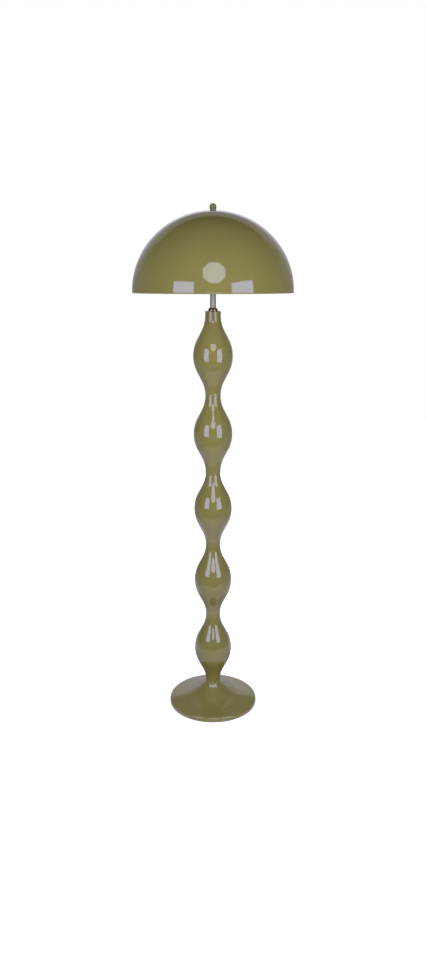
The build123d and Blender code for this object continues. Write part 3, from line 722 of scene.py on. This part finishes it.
    def screw(self, turn: float) -> Surface:
        """Pan-head screw with a cross recess, hanging head down at an angle on the screw circle.

        The head's underside sinks by a millimetre in two crossed slots, with a soft step in the
        distance from the nearer slot's middle line and from the screw's axis.

        Args:
            turn: angle of the screw on its circle.

        Returns:
            The surface, shank and head in one.
        """
        head, shank, length = self.screw_head, self.screw_shank, self.screw_length
        radius = np.concatenate([np.linspace(0, head - 0.6, 26), [head - 0.3, head - 0.05, head],
                                 [head, shank, shank, 0.0]])
        height = np.concatenate([np.linspace(0, 1, 26) ** 3 * 0.35 - self.screw_rise,
                                 [-1.4, -1.0, -0.6, 0.0, 0.0, length, length + 0.4]])
        surface = lathe(np.stack([radius, height], -1), 96, closed=False)
        x, y, z = np.moveaxis(surface.points, -1, 0)
        slot = np.minimum(np.abs(x), np.abs(y))
        reach = np.hypot(x, y)
        sink = np.clip((self.slot_half - slot) / 0.25, 0, 1)
        sink = sink * np.clip((self.slot_reach - reach) / 0.4, 0, 1)
        z = z + np.where(z < -1.5, sink, 0.0)
        place = np.array([self.screw_circle * math.cos(turn), self.screw_circle * math.sin(turn),
                          self.plate_z])
        surface.points = np.stack([x, y, z], -1) + place
        return surface


@dataclass
class Column(SubAssembly):
    """Five equal enamelled bobbins, the ferrule and the plated stem."""

    count: int = 5
    foot: float = 72.0
    pitch: float = 226.0
    belly: float = 56.5
    neck: float = 22.0
    belly_share: float = 0.5
    neck_share: float = 0.445
    collar: float = 12.0
    collar_row: float = 4.0
    edge: float = 0.25
    collar_edge: float = 1.0
    spigot: float = 12.2
    ferrule_bore: float = 5.2
    ferrule_foot: float = 13.5
    ferrule_edge: float = 0.3
    ferrule_top: float = 8.7
    ferrule_low: float = 1.5
    ferrule_rise: float = 9.0
    ferrule_floor: float = 3.0
    stem_radius: float = 8.0
    stem_wall: float = 1.2
    stem_slip: float = 0.05
    stem_rise: float = 86.0

    def side(self, low: float) -> Array:
        """Side of one bobbin: hollow neck, round belly and hollow neck with straights between.

        Args:
            low: height of its lower neck.

        Returns:
            Profile from the lower to the upper neck.
        """
        depth = self.belly - self.neck
        reach = (depth**2 + (self.pitch / 2) ** 2) / (2 * depth)
        round_radius, hollow = self.belly_share * reach, self.neck_share * reach
        middle = (self.belly - round_radius, low + self.pitch / 2)
        above = (self.neck + hollow, low + self.pitch)
        normal = tangent_normal(middle, above, round_radius + hollow)
        return np.concatenate([
            arc((above[0], low), hollow, 180, 180 - normal, 56),
            arc(middle, round_radius, -normal, normal, 110),
            arc(above, hollow, 180 + normal, 180, 56)])

    def build(self) -> None:
        """Build and dress the bobbins, ferrule and stem."""
        for index in range(self.count):
            low = self.foot + index * self.pitch
            high = low + self.pitch
            side = self.side(low)
            side = side[(side[:, 1] > low + self.edge) & (side[:, 1] < high - self.edge)]
            start = np.array([(self.spigot, low), (self.neck - self.edge, low),
                              (self.neck, low + self.edge)])
            if index == self.count - 1:
                top = high + self.collar
                end = np.concatenate([
                    [(self.neck, high), (self.neck, top - self.collar_row)],
                    arc((self.neck - self.collar_edge, top - self.collar_edge), self.collar_edge,
                        0, 90, 8), [(self.spigot, top)]])
            else:
                end = np.array([(self.neck, high - self.edge), (self.neck - self.edge, high),
                                (self.spigot, high)])
            profile = np.concatenate([start, side, end])
            self.add(f"column_bobbin_{index + 1}", f"bobbin_{index + 1}", [lathe(profile, 256)],
                     OLIVE)
        self.build_stem(self.foot + self.count * self.pitch + self.collar)

    def build_stem(self, base: float) -> None:
        """Turned ferrule with a rounded cone, and the drawn tube that stands in it.

        The cone's side is a quarter of an ellipse, upright at its foot.

        Args:
            base: height of the column's top.
        """
        turn = np.linspace(0, math.pi / 2, 25)
        wide, rise = self.ferrule_foot - self.ferrule_top, self.ferrule_rise - self.ferrule_low
        cone = oval((self.ferrule_top, base + self.ferrule_low), wide, rise, turn)
        floor, socket = base + self.ferrule_floor, self.stem_radius + self.stem_slip
        profile = np.concatenate([
            [(self.ferrule_bore, base), (self.ferrule_foot - self.ferrule_edge, base),
             (self.ferrule_foot, base + self.ferrule_edge)], cone,
            [(socket, base + self.ferrule_rise), (socket, floor), (self.ferrule_bore, floor)]])
        self.add("cone_ferrule", "stem_ferrule", [lathe(profile)], NICKEL)
        tube = bush(self.stem_radius - self.stem_wall, self.stem_radius, floor, base + self.stem_rise)
        self.turned("plated_stem", "stem_tube", tube, 0.3, NICKEL)


# Harp, lampholder, switch and bulb


@dataclass
class Harp(SubAssembly):
    """Bent wire-strip harp, its saddle, nut and locking sleeves."""

    saddle_z: float = 1300.0
    saddle_half: float = 32.0
    saddle_thick: float = 1.5
    saddle_bend: float = 8.0
    saddle_wide: float = 6.0
    saddle_corner: float = 0.4
    shoulder: float = 1320.0
    step: float = 0.4
    tongue_top: float = 1332.0
    tongue_wide: float = 3.0
    foot_x: float = 33.0
    foot_gap: float = 0.3
    half_width: float = 54.0
    top: float = 1475.0
    thick: float = 2.0
    wide: float = 3.0
    loop_corner: float = 0.5
    corner: float = 42.0
    bow: float = 35.0
    leg: float = 36.0
    lean: float = 42.0
    pad: float = 7.0
    sleeve: float = 13.0
    sleeve_x: float = 32.25
    sleeve_gap: Pair = (2.05, 3.3)

    @staticmethod
    def bend(corners: Sequence[Point], radii: Sequence[float]) -> Array:
        """Path with its inner corners rounded by arcs that touch both runs.

        For a corner of half-angle h the arc starts radius / tan(h) from it, and its centre lies
        radius / sin(h) along the middle line.

        Args:
            corners: ends and corners of the path.
            radii: one radius for each inner corner.

        Returns:
            Path points, shape (n, 2).
        """
        spot = np.array(corners, float)
        path = [spot[:1]]
        for index, radius in enumerate(radii, start=1):
            back = spot[index - 1] - spot[index]
            on = spot[index + 1] - spot[index]
            back, on = back / np.linalg.norm(back), on / np.linalg.norm(on)
            half = math.acos(float(np.clip(back @ on, -1, 1))) / 2
            middle = (back + on) / np.linalg.norm(back + on)
            center = spot[index] + middle * radius / math.sin(half)
            first = spot[index] + back * radius / math.tan(half) - center
            last = spot[index] + on * radius / math.tan(half) - center
            turn = math.atan2(first[0] * last[1] - first[1] * last[0], float(first @ last))
            step = np.linspace(0.0, turn, 28)[:, None]
            across = np.array([-first[1], first[0]])
            path.append(center + first * np.cos(step) + across * np.sin(step))
        path.append(spot[-1:])
        return np.concatenate(path)

    def build(self) -> None:
        """Build and dress saddle, nut, loop and sleeves."""
        arm = self.saddle_half - self.saddle_thick / 2
        mid = self.saddle_z + self.saddle_thick / 2
        path = dense(self.bend([(-arm, self.tongue_top), (-arm, mid), (arm, mid),
                                (arm, self.tongue_top)], [self.saddle_bend] * 2), 2.0)
        tongue = np.clip((path[:, 1] - self.shoulder + self.step) / self.step, 0, 1)
        wide = self.saddle_wide - (self.saddle_wide - self.tongue_wide) * tongue
        strip = swept_strip(path, self.saddle_thick / 2, wide, self.saddle_corner)
        self.add("saddle_strip", "harp_saddle", [strip], ZINC)
        nut = self.hex_nut(self.saddle_z + self.saddle_thick)
        self.add("saddle_hex", "saddle_nut", [nut], ZINC)
        leg_z = self.shoulder + self.leg
        mid = self.top - self.thick / 2
        half = [(self.foot_x, self.shoulder + self.foot_gap), (self.foot_x, leg_z),
                (self.half_width, leg_z + self.lean), (self.half_width, mid)]
        corners = [(-x, z) for x, z in half] + half[::-1]
        path = dense(self.bend(corners, [self.bow] * 2 + [self.corner] * 2 + [self.bow] * 2), 1.0)
        on_top = (path[:, 1] > mid - 0.5) & (np.abs(path[:, 0]) < self.pad)
        wide = np.where(on_top, np.sqrt(np.maximum(self.pad**2 - path[:, 0] ** 2, 0)), 0.0)
        loop = swept_strip(path, self.thick / 2, np.maximum(wide, self.wide), self.loop_corner)
        self.add("harp_strip", "harp_loop", [loop], NICKEL)
        self.build_sleeves()

    def build_sleeves(self) -> None:
        """Locking sleeves: a round-cornered tube with a small rolled lip at each end."""
        low, high = self.shoulder, self.shoulder + self.sleeve
        rows = np.array([(low, 0.0), (low, 0.5), (low + 0.3, 0.8), (low + 1.2, 0.8),
                         (low + 1.6, 0.6), (high - 1.6, 0.6), (high - 1.2, 0.8),
                         (high - 0.3, 0.8), (high, 0.5), (high, 0.0)])
        thick = rows[:, 1]
        section = round_box(self.sleeve_gap[0] + thick, self.sleeve_gap[1] + thick,
                            0.15 + 0.7 * thick)
        for side, body in ((-1, Body.SLEEVE_LEFT), (1, Body.SLEEVE_RIGHT)):
            x = section[..., 0] + side * self.sleeve_x
            z = np.broadcast_to(rows[:, :1], x.shape)
            name = "left" if side < 0 else "right"
            tube = Surface(np.stack([x, section[..., 1], z], -1), close_rows=True)
            self.add(f"sleeve_tube_{name}", f"harp_sleeve_{name}", [tube], NICKEL, body=body)

    @staticmethod
    def hex_nut(low: float, flats: float = 17.0, height: float = 5.0, bore: float = 5.05) -> Surface:
        """Hexagon nut with turned chamfers.

        The radius at angle t is flats / 2 over cos of the angle from the nearest flat's middle,
        but never more than a 30 degree cone allows near both faces.

        Args:
            low: height of its lower face.
            flats: width across flats.
            height: thickness.
            bore: radius of the hole.

        Returns:
            The surface.
        """
        turn = np.linspace(0, 2 * math.pi, 180, endpoint=False)
        off = (turn + math.pi / 6) % (math.pi / 3) - math.pi / 6
        flat = flats / 2 / np.cos(off)
        level = np.concatenate([[0.0], np.linspace(0, 1.0, 8), np.linspace(height - 1, height, 8),
                                [height]])
        edge = np.minimum(level, height - level)
        cone = flats / 2 - 0.2 + edge / math.tan(math.radians(30))
        radius = np.minimum(flat[None, :], cone[:, None])
        radius[0], radius[-1] = bore, bore
        points = np.stack([radius * np.cos(turn), radius * np.sin(turn),
                           np.broadcast_to(low + level[:, None], radius.shape)], -1)
        return Surface(points, close_rows=True)


@dataclass
class Lampholder(SubAssembly):
    """Brass lampholder with its moulded body, screw shell, switch and bulb."""

    low: float = 1306.5
    floor: float = 1318.5
    rim: float = 1362.5
    radius: float = 17.4
    body_top: float = 1338.5
    switch_z: float = 1330.5
    contact_top: float = 1339.7
    bulb_cap_z: float = 1345.9
    bulb_cap_top: float = 1367.9
    bulb_center: float = 1414.7
    bulb_radius: float = 30.0
    bulb_shoulder: float = 30.0
    bulb_neck: float = 12.4
    bulb_seat: float = 12.0
    tip_radius: float = 4.6
    tip_round: float = 1.4
    tip_rise: float = 2.2
    ring_radius: float = 10.9
    cap_hole: float = 11.0
    cap_radius: float = 12.85
    thread_pitch: float = 3.629
    thread_step: float = 0.22
    shell_thread: float = 0.33
    cap_thread: float = 0.3
    run_out: float = 1.8
    bore: float = 5.05
    cap_neck: float = 8.5
    neck_rise: float = 5.0
    cap_wall: float = 0.9
    cap_skirt: float = 8.0
    lip: float = 0.4
    ring_rise: float = 0.35
    ring_wide: float = 0.7
    ring_drops: Pair = (4.0, 7.0)
    core: float = 16.4
    liner: float = 0.9
    liner_drop: float = 3.0
    screw: Pair = (14.35, 14.85)
    contact: float = 5.0
    shaft_radius: float = 2.0
    shaft_slip: float = 0.05
    shaft_ends: Pair = (4.0, 38.0)
    knob_low: float = 24.0
    knob_radius: float = 6.5
    knob_round: float = 2.0
    flutes: int = 12
    flute_depth: float = 0.6

    def threaded(self, profile: Sequence[Point], low: float, high: float, depth: float) -> Surface:
        """Turned wall with the bulb's round thread rolled into it from low to high."""
        wall = lathe(dense(np.array([*profile, profile[0]]), self.thread_step)[:-1], 120)
        return wall.roll_thread(low, high, self.run_out, depth, self.thread_pitch)

    def build(self) -> None:
        """Build and dress holder, switch and bulb."""
        self.build_holder()
        self.build_switch()
        self.build_bulb()

    def build_holder(self) -> None:
        """Spun cap, ringed shell, moulded body, liner, screw shell and centre contact."""
        outer = self.radius + 0.2 + self.cap_wall
        inner, skirt = outer - self.cap_wall, self.floor + self.cap_skirt
        cap = [(self.bore, self.low), (self.cap_neck, self.low),
               (self.cap_neck, self.low + self.neck_rise), (outer, self.floor), (outer, skirt),
               (inner, skirt), (inner, self.floor), (self.bore, self.floor)]
        self.turned("holder_spun_cap", "holder_cap", cap, 0.8, BRASS)
        height = np.linspace(self.floor, self.rim, 120)
        rings = sum(self.ring_rise * np.exp(-((height - (self.rim - drop)) / self.ring_wide) ** 2)
                    for drop in self.ring_drops)
        middle = self.radius - self.lip
        shell = np.concatenate([[(middle - self.lip, self.floor)],
                                np.stack([middle + rings, height], -1),
                                arc((middle, self.rim), self.lip, 0, 180, 8)[1:]])
        self.add("holder_ringed_shell", "holder_shell", [lathe(shell)], BRASS)
        base, top = self.body_top, self.rim - self.liner_drop
        self.turned("holder_moulding", "holder_body", bush(CORE, self.core, self.floor, base), 0.5,
                    PHENOLIC)
        self.turned("holder_fibre_liner", "holder_liner",
                    bush(self.core - self.liner, self.core, base, top), 0.2, FIBRE)
        screw = self.threaded(bush(*self.screw, base, top), base + 2, top - 1, self.shell_thread)
        self.add("holder_thread", "screw_shell", [screw], BRASS)
        self.turned("holder_contact", "center_contact",
                    bush(CORE, self.contact, base, self.contact_top), 0.35, BRASS, segments=64)

    def build_switch(self) -> None:
        """Shaft and a knob whose radius dips along twelve flutes and rounds off at its end."""
        center = (0.0, 0.0, self.switch_z)
        rod = eased(bush(CORE, self.shaft_radius, *self.shaft_ends), 0.2)
        self.add("switch_rod", "switch_shaft", [lathe(rod, 48, axis=Axis.FRONT, center=center)],
                 BRASS, body=Body.SWITCH)
        low, wide, end = self.knob_low, self.knob_radius, self.shaft_ends[1]
        hole = self.shaft_radius + self.shaft_slip
        profile = np.concatenate([
            [(hole, low), (wide - 0.9, low), (wide - 0.3, low + 0.4)],
            [(wide, low + step) for step in (1.0, 3.0, 5.0, 9.0, 13.0)],
            arc((wide - self.knob_round, end), self.knob_round, 0, 90, 10),
            [(2.0, end + 1.8), (CORE, end + 1.7), (CORE, end + 0.1), (hole, end + 0.1)]])
        surface = lathe(profile, 240, axis=Axis.FRONT, center=center)
        x, y, z = np.moveaxis(surface.points - np.array(center), -1, 0)
        turn, radius = np.arctan2(z, x), np.hypot(x, z)
        share = np.clip((-y - low - 1.5) / 1.5, 0, 1) * np.clip((radius - 3.5) / 2.0, 0, 1)
        new = radius - self.flute_depth * share * np.abs(np.cos(self.flutes / 2 * turn)) ** 6
        surface.points = np.stack([new * np.cos(turn), y, new * np.sin(turn)], -1) + np.array(center)
        self.add("switch_fluted_knob", "switch_knob", [surface], PHENOLIC, body=Body.SWITCH)

    def build_bulb(self) -> None:
        """Solder tip, black glass ring, threaded cap and opal glass."""
        ring_z, low, top = self.contact_top + self.tip_rise, self.bulb_cap_z, self.bulb_cap_top
        bend, wide = self.tip_round, self.tip_radius
        tip = np.concatenate([[(CORE, self.contact_top)],
                              arc((wide - bend, self.contact_top + bend), bend, -90, 0, 10),
                              [(wide, ring_z), (CORE, ring_z)]])
        self.add("bulb_tip", "bulb_contact", [lathe(tip, 64)], SOLDER, body=Body.BULB_FOOT)
        glass_ring = [(CORE, ring_z), (wide, ring_z), (self.ring_radius, low),
                      (self.ring_radius, low + 0.5), (CORE, low + 0.5)]
        self.turned("bulb_black_ring", "bulb_insulator", glass_ring, 0.4, VITRITE, Body.BULB, 96)
        hole, outer = self.cap_hole, self.cap_radius
        cap = [(hole, low), (outer - 0.65, low), (outer, low + 0.7), (outer, top - 0.4),
               (outer + 0.25, top), (outer - 0.35, top), (outer - 0.4, low + 1.0), (hole, low + 0.5)]
        thread = self.threaded(cap, low + 1.5, top - 4, self.cap_thread)
        self.add("bulb_threaded_cap", "bulb_cap", [thread], BRASS, body=Body.BULB)
        seat, neck, side = top - self.bulb_seat, self.bulb_neck, self.bulb_neck + self.bulb_shoulder
        drop = math.sqrt((self.bulb_radius + self.bulb_shoulder) ** 2 - side**2)
        turn = math.degrees(math.atan2(drop, side))
        glass = np.concatenate([
            [(0.0, seat), (neck - 0.5, seat), (neck, seat + 0.5)],
            arc((side, self.bulb_center - drop), self.bulb_shoulder, 180, 180 - turn, 40),
            arc((0.0, self.bulb_center), self.bulb_radius, -turn, 90, 70)[1:]])
        glass[-1, 0] = 0.0
        self.add("bulb_opal_head", "bulb_glass", [lathe(glass, 160, closed=False)], OPAL,
                 body=Body.BULB)


@dataclass
class Shade(SubAssembly):
    """Dome shade with its rolled hem, swivel stud, washer and ball finial."""

    radius: float = 224.6
    rise: float = 216.4
    middle: float = 1264.6
    wall: float = 1.0
    hem: float = 1.6
    hem_center: float = 223.4
    hem_turn: float = 0.011
    rows: int = 150
    crown: float = 12.0
    crown_top: float = 1480.7
    seat: float = 1478.2
    harp_top: float = 1475.0
    collar_radius: float = 8.3
    collar_top: float = 1484.7
    ball_radius: float = 9.75
    stud_hole: float = 3.575
    finial_bore: float = 3.3
    finial_depth: float = 8.0
    rivet_radius: float = 5.0
    rivet_drop: float = 3.6
    rivet_thick: float = 1.5
    shank_radius: float = 3.17
    stud_flange: float = 8.0
    stud_radius: float = 3.0
    stud_rise: float = 10.0
    washer: Pair = (3.3, 10.0)
    washer_thick: float = 1.5
    stud_pitch: float = 0.94
    stud_thread: float = 0.17

    def build(self) -> None:
        """Build and dress dome, stud, washer and finial."""
        self.build_dome()
        self.build_stud()
        self.build_finial()

    def build_dome(self) -> None:
        """Spun dome: outer and inner ellipse and a round hem as one closed profile.

        An ellipse point is (radius cos a, middle + rise sin a); the inner one is a wall smaller.
        """
        center = (0.0, self.middle)
        turn = np.linspace(self.hem_turn, math.acos(self.crown / self.radius), self.rows)
        outer = oval(center, self.radius, self.rise, turn)
        inside, height = self.radius - self.wall, self.rise - self.wall
        last = math.asin((self.crown_top - self.wall - self.middle) / height)
        inner = oval(center, inside, height, np.linspace(last, self.hem_turn, self.rows))
        hem = arc((self.hem_center, self.middle), self.hem, -220, 40, 30)
        hole = [(self.stud_hole, self.crown_top), (self.stud_hole, self.crown_top - self.wall)]
        profile = np.concatenate([hem, outer, hole, inner])
        surface = lathe(profile, 288)
        surface.row_finish = np.zeros(len(profile), int)
        surface.row_finish[len(hem) + len(outer) + 1:] = 1
        self.add("dome", "shade_dome", [surface], OLIVE, WHITE, body=Body.SHADE)

    def build_stud(self) -> None:
        """Riveted stud with a turned flange and a fine thread, and the washer under the shade."""
        low, base = self.harp_top - self.rivet_drop, self.harp_top
        top = self.crown_top + self.stud_rise
        rivet, head, shank = low + self.rivet_thick, self.rivet_radius, self.shank_radius
        wide, thin = self.stud_flange, self.stud_radius
        stud = [(CORE, low), (head, low), (head, rivet), (shank, rivet), (shank, base),
                (wide, base), (wide, self.seat), (thin, self.seat), (thin, top), (CORE, top)]
        surface = lathe(dense(eased(stud, 0.3), 0.2), 64)
        surface.roll_thread(self.seat + 0.6, top - 0.4, 0.8, self.stud_thread, self.stud_pitch, 2.0)
        self.add("stud_threaded", "swivel_stud", [surface], BRASS, body=Body.SHADE)
        washer = bush(*self.washer, self.seat, self.seat + self.washer_thick)
        self.turned("seat_washer", "shade_washer", washer, 0.3, RUBBER, Body.SHADE, 96)

    def build_finial(self) -> None:
        """Collar with eased edges and the ball cut flat where it stands on it."""
        bore, base = self.finial_bore, self.collar_top
        collar = bush(bore, self.collar_radius, self.crown_top, base)
        self.turned("finial_neck_ring", "finial_collar", collar, 0.35, OLIVE, Body.FINIAL, 128)
        rise = math.sqrt(self.ball_radius**2 - self.collar_radius**2)
        start = -math.degrees(math.asin(rise / self.ball_radius))
        profile = np.concatenate([
            [(0.0, base + self.finial_depth), (bore, base + self.finial_depth), (bore, base)],
            [(self.collar_radius - 0.2, base)],
            arc((0.0, base + rise), self.ball_radius, start + 1.0, 90, 60)])
        profile[-1, 0] = 0.0
        self.add("finial_bead", "finial_ball", [lathe(profile, 128, closed=False)], OLIVE,
                 body=Body.FINIAL)


# Studio


def stage_sheet(name: str, corners: Array, material: bpy.types.Material) -> bpy.types.Object:
    """Flat stage object through the given corners in metres."""
    mesh = bpy.data.meshes.new(name)
    mesh.from_pydata(corners.tolist(), [], [tuple(range(len(corners)))])
    mesh.materials.append(material)
    sheet = bpy.data.objects.new(name, mesh)
    bpy.context.scene.collection.objects.link(sheet)
    return sheet


def oblong(half_x: float, half_y: float) -> List[Point]:
    """Corners of a rectangle about the origin."""
    return [(-half_x, -half_y), (half_x, -half_y), (half_x, half_y), (-half_x, half_y)]


def octagon(radius: float) -> Array:
    """Corners of a regular eight-sided outline that stands on one side."""
    return oval((0.0, 0.0), radius, radius, np.radians(22.5 + 45 * np.arange(8)))


@dataclass(frozen=True)
class Softbox:
    """Flat sheet that glows towards a point and that the camera doesn't see.

    Attributes:
        name: name of the sheet.
        place: its middle in metres.
        target: point that it faces.
        outline: its corners in its own plane, in metres.
        colour: linear colour of its light.
        strength: brightness of its face.
        mirrored: whether reflections show it.
    """

    name: str
    place: Triple
    target: Triple
    outline: Sequence[Point]
    colour: Triple
    strength: float
    mirrored: bool = True

    def build(self) -> None:
        """Make the sheet, lit on the side that faces the target."""
        material = bpy.data.materials.new(self.name)
        nodes = Nodes.on(material)
        back = nodes.add("NewGeometry").outputs["Backfacing"]
        glow = nodes.add("Emission", {"Color": (*self.colour, 1.0),
                                      "Strength": nodes.math("MULTIPLY", back, self.strength)})
        nodes.add("OutputMaterial", {"Surface": glow.outputs[0]})
        outline, middle = np.array(self.outline), np.array(self.place)
        ahead = np.array(self.target) - middle
        ahead /= np.linalg.norm(ahead)
        right = np.cross(ahead, (0, 0, 1))
        right /= np.linalg.norm(right)
        corners = middle + outline[:, :1] * right + outline[:, 1:] * np.cross(right, ahead)
        sheet = stage_sheet(self.name, corners, material)
        sheet.visible_camera = False
        sheet.visible_shadow = False
        sheet.visible_glossy = self.mirrored


# Two upright softboxes beside the camera and an eight-sided one high in front of the lamp. A faint
# panel high behind it greys the crown of the shade. The fill lights the lamp's back.
LIGHTS = (
    Softbox("softbox_left", place=(-0.95, -1.2, 1.09), target=(0.0, 0.0, 1.09),
            outline=[(-0.38, -0.47), (0.38, -0.47), (0.38, 0.56), (-0.38, 0.565)],
            colour=(0.86, 0.92, 1.6), strength=5.45),
    Softbox("softbox_right", place=(0.95, -1.2, 1.09), target=(0.0, 0.0, 1.09),
            outline=[(-0.4, -0.54), (0.4, -0.54), (0.4, 0.6), (-0.4, 0.53)],
            colour=(0.86, 0.92, 1.6), strength=5.45),
    Softbox("softbox_high", place=(0.1, -3.53, 3.12), target=(0.0, -0.15, 1.25),
            outline=octagon(1.11), colour=(0.94, 0.98, 1.22), strength=5.2),
    Softbox("panel_high", place=(0.0, 2.0, 3.0), target=(0.0, 0.0, 1.45),
            outline=oblong(2.1, 0.45), colour=(0.97, 0.97, 1.08), strength=0.44),
    Softbox("fill_back", place=(0.0, 3.0, 0.75), target=(0.0, 0.0, 0.75),
            outline=oblong(0.84, 1.25), colour=(0.9, 0.94, 1.35), strength=4.5, mirrored=False))


@dataclass
class Studio:
    """Camera, pale floor, backdrop and lights.

    Attributes:
        eye: camera place in metres.
        dip: camera's tilt below level, in degrees.
        focal: focal length in pixels of the picture.
        picture: the picture's height in pixels.
        sensor: height of the camera's sensor, millimetres.
        floor_half: half of the floor's width, and its reach to the front, metres.
        floor_back: its reach to the back, metres.
        floor_edge: front edge of the lit floor, metres.
        edge_blur: half of that edge's soft width, metres.
        floor_glow: brightness of the painted pool of light on the floor, in reflections.
        floor_sides: its brightness far to the left and right.
        floor_shade: its brightness in the lamp's own shade behind it, a painted shade.
        floor_bounce: share of it that lights the lamp from below.
        shade_depth: where that shade begins and is full along Y, metres.
        shade_side: where it fades to the left and right, metres.
        glow_side: where the painted pool of light on the floor fades to the left and right, metres.
        contact: distances from the middle between which the white floor brightens, metres.
        contact_level: its brightness under the foot.
        wall: brightness of the backdrop's lower band.
        horizon: brightness that this band adds near the horizon.
        low_sky: heights of a direction between which that brightness grows to the band's own.
        dim: brightness of the upper band.
        front: brightness of the dark room towards the camera.
        window: sideways reach over depth where the lower band has half its brightness.
        low_rise: height over depth where the lower band ends.
        high_rise: height over depth where the upper band ends.
        band_blur: half of the soft width of both ends.
    """

    eye: Triple = (0.0, -2.1882, 1.2909)
    dip: float = 14.585
    focal: float = 762.28
    picture: float = 962.0
    sensor: float = 36.0
    floor_half: float = 6.0
    floor_back: float = 5.0
    floor_edge: float = -0.85
    edge_blur: float = 0.05
    floor_glow: float = 1.07
    floor_sides: float = 0.5
    floor_shade: float = 0.42
    floor_bounce: float = 0.45
    shade_depth: Pair = (-0.1, 0.1)
    shade_side: Pair = (0.25, 0.45)
    glow_side: Pair = (0.7, 1.1)
    contact: Pair = (0.13, 0.4)
    contact_level: float = 0.74
    wall: float = 1.14
    horizon: float = 0.42
    low_sky: Pair = (0.03, 0.26)
    window: float = 0.45
    dim: float = 0.16
    front: float = 0.03
    low_rise: float = 0.584
    high_rise: float = 1.11
    band_blur: float = 0.02

    def build(self) -> None:
        """Set up the whole studio."""
        bpy.context.scene.view_settings.view_transform = "Standard"
        self.build_camera()
        self.build_floor()
        self.build_world()
        for light in LIGHTS:
            light.build()

    def build_camera(self) -> None:
        """Camera at the photograph's place, level across and tilted down."""
        lens = bpy.data.cameras.new("camera")
        lens.sensor_width = self.sensor
        lens.lens = self.focal * self.sensor / self.picture
        camera = bpy.data.objects.new("camera", lens)
        camera.location = self.eye
        camera.rotation_euler = (math.radians(90 - self.dip), 0.0, 0.0)
        bpy.context.scene.collection.objects.link(camera)
        bpy.context.scene.camera = camera

    def build_floor(self) -> None:
        """White paper floor: white to the camera with the lamp's shadow; painted light in
        reflections.

        Reflections see a painted pool of light on it, bright as far as its front edge and dark in
        front of that, with a painted shade of the lamp behind it. From below it is clear, so that
        the underside of the foot can be looked at.
        """
        material = bpy.data.materials.new("white_paper_floor")
        nodes = Nodes.on(material)
        place = nodes.add("TexCoord").outputs["Object"]
        part = nodes.add("SeparateXYZ", {0: place}).outputs
        aside = nodes.math("ABSOLUTE", part["X"])
        # The floor's glow drops behind the lamp: a painted shade of the lamp, not a cast one.
        behind = nodes.ramp(part["Y"], *self.shade_depth, self.floor_glow, self.floor_shade)
        around = nodes.ramp(aside, *self.shade_side, behind, self.floor_glow)
        lit = nodes.ramp(aside, *self.glow_side, around, self.floor_sides)
        glow = nodes.ramp(part["Y"], self.floor_edge - self.edge_blur,
                          self.floor_edge + self.edge_blur, self.front, lit)
        path = nodes.add("LightPath").outputs
        share = nodes.ramp(path["Is Glossy Ray"], 0.0, 1.0, self.floor_bounce, 1.0)
        seen = nodes.add("Emission", {"Color": (0.97, 0.97, 1.16, 1),
                                      "Strength": nodes.math("MULTIPLY", glow, share)})
        reach = nodes.add("VectorMath", {0: place}, operation="LENGTH").outputs["Value"]
        near = nodes.ramp(reach, *self.contact, self.contact_level, 1.0,
                          interpolation_type="SMOOTHSTEP")
        paper = nodes.add("BsdfDiffuse", {"Color": srgb("#d4d4d4")})
        lift = nodes.add("Emission", {"Strength": near})
        both = nodes.add("AddShader", {0: paper.outputs[0], 1: lift.outputs[0]})
        mixed = nodes.add("MixShader", {0: path["Is Camera Ray"], 1: seen.outputs[0],
                                        2: both.outputs[0]})
        below = nodes.add("NewGeometry").outputs["Backfacing"]
        clear = nodes.add("BsdfTransparent")
        sided = nodes.add("MixShader", {0: below, 1: mixed.outputs[0], 2: clear.outputs[0]})
        nodes.add("OutputMaterial", {"Surface": sided.outputs[0]})
        half, back = self.floor_half, self.floor_back
        corners = np.array([(-half, -half, 0), (half, -half, 0), (half, back, 0), (-half, back, 0)])
        stage_sheet("paper_floor", corners, material)

    def build_world(self) -> None:
        """White backdrop for the camera; for other rays two bright bands behind the lamp.

        A direction (x, y, z) lies in a band while z is below the band's rise times y. The lower
        band fades to the sides as (w y)^2 / ((w y)^2 + x^2), where w is the window, and it is
        dimmer near the horizon.
        """
        world = bpy.data.worlds.new("studio")
        bpy.context.scene.world = world
        nodes = Nodes.on(world)
        part = nodes.add("SeparateXYZ", {0: nodes.add("TexCoord").outputs["Generated"]}).outputs
        wide = nodes.math("MULTIPLY", part["Y"], self.window)
        ahead = nodes.math("MULTIPLY", wide, wide)
        span = nodes.math("MULTIPLY_ADD", part["X"], part["X"], ahead)
        fade = nodes.math("DIVIDE", ahead, span)
        low = nodes.ramp(part["Z"], *self.low_sky, self.horizon, self.wall - self.dim)
        total: Any = self.front
        for rise, gain in ((self.low_rise, nodes.math("MULTIPLY", fade, low)),
                           (self.high_rise, self.dim - self.front)):
            below = nodes.math("SUBTRACT", nodes.math("MULTIPLY", part["Y"], rise), part["Z"])
            band = nodes.ramp(below, -self.band_blur, self.band_blur, 0.0, gain)
            total = nodes.math("ADD", band, total)
        cold = nodes.add("Background", {"Color": (0.97, 0.97, 1.18, 1), "Strength": total})
        white = nodes.add("Background", {"Color": (1, 1, 1, 1), "Strength": 1.0})
        ray = nodes.add("LightPath").outputs["Is Camera Ray"]
        mixed = nodes.add("MixShader", {0: ray, 1: cold.outputs[0], 2: white.outputs[0]})
        nodes.add("OutputWorld", {"Surface": mixed.outputs[0]})


def main() -> None:
    """Load the part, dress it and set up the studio."""
    logging.basicConfig(level=logging.INFO, format="%(name)s: %(message)s")
    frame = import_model()
    Studio().build()
    groups: List[SubAssembly] = [Foot(frame), Column(frame), Harp(frame), Lampholder(frame),
                                 Shade(frame)]
    for group in groups:
        group.build()
    LOG.info("%d pieces", sum(len(group.pieces) for group in groups))


if __name__ == "__main__":
    main()
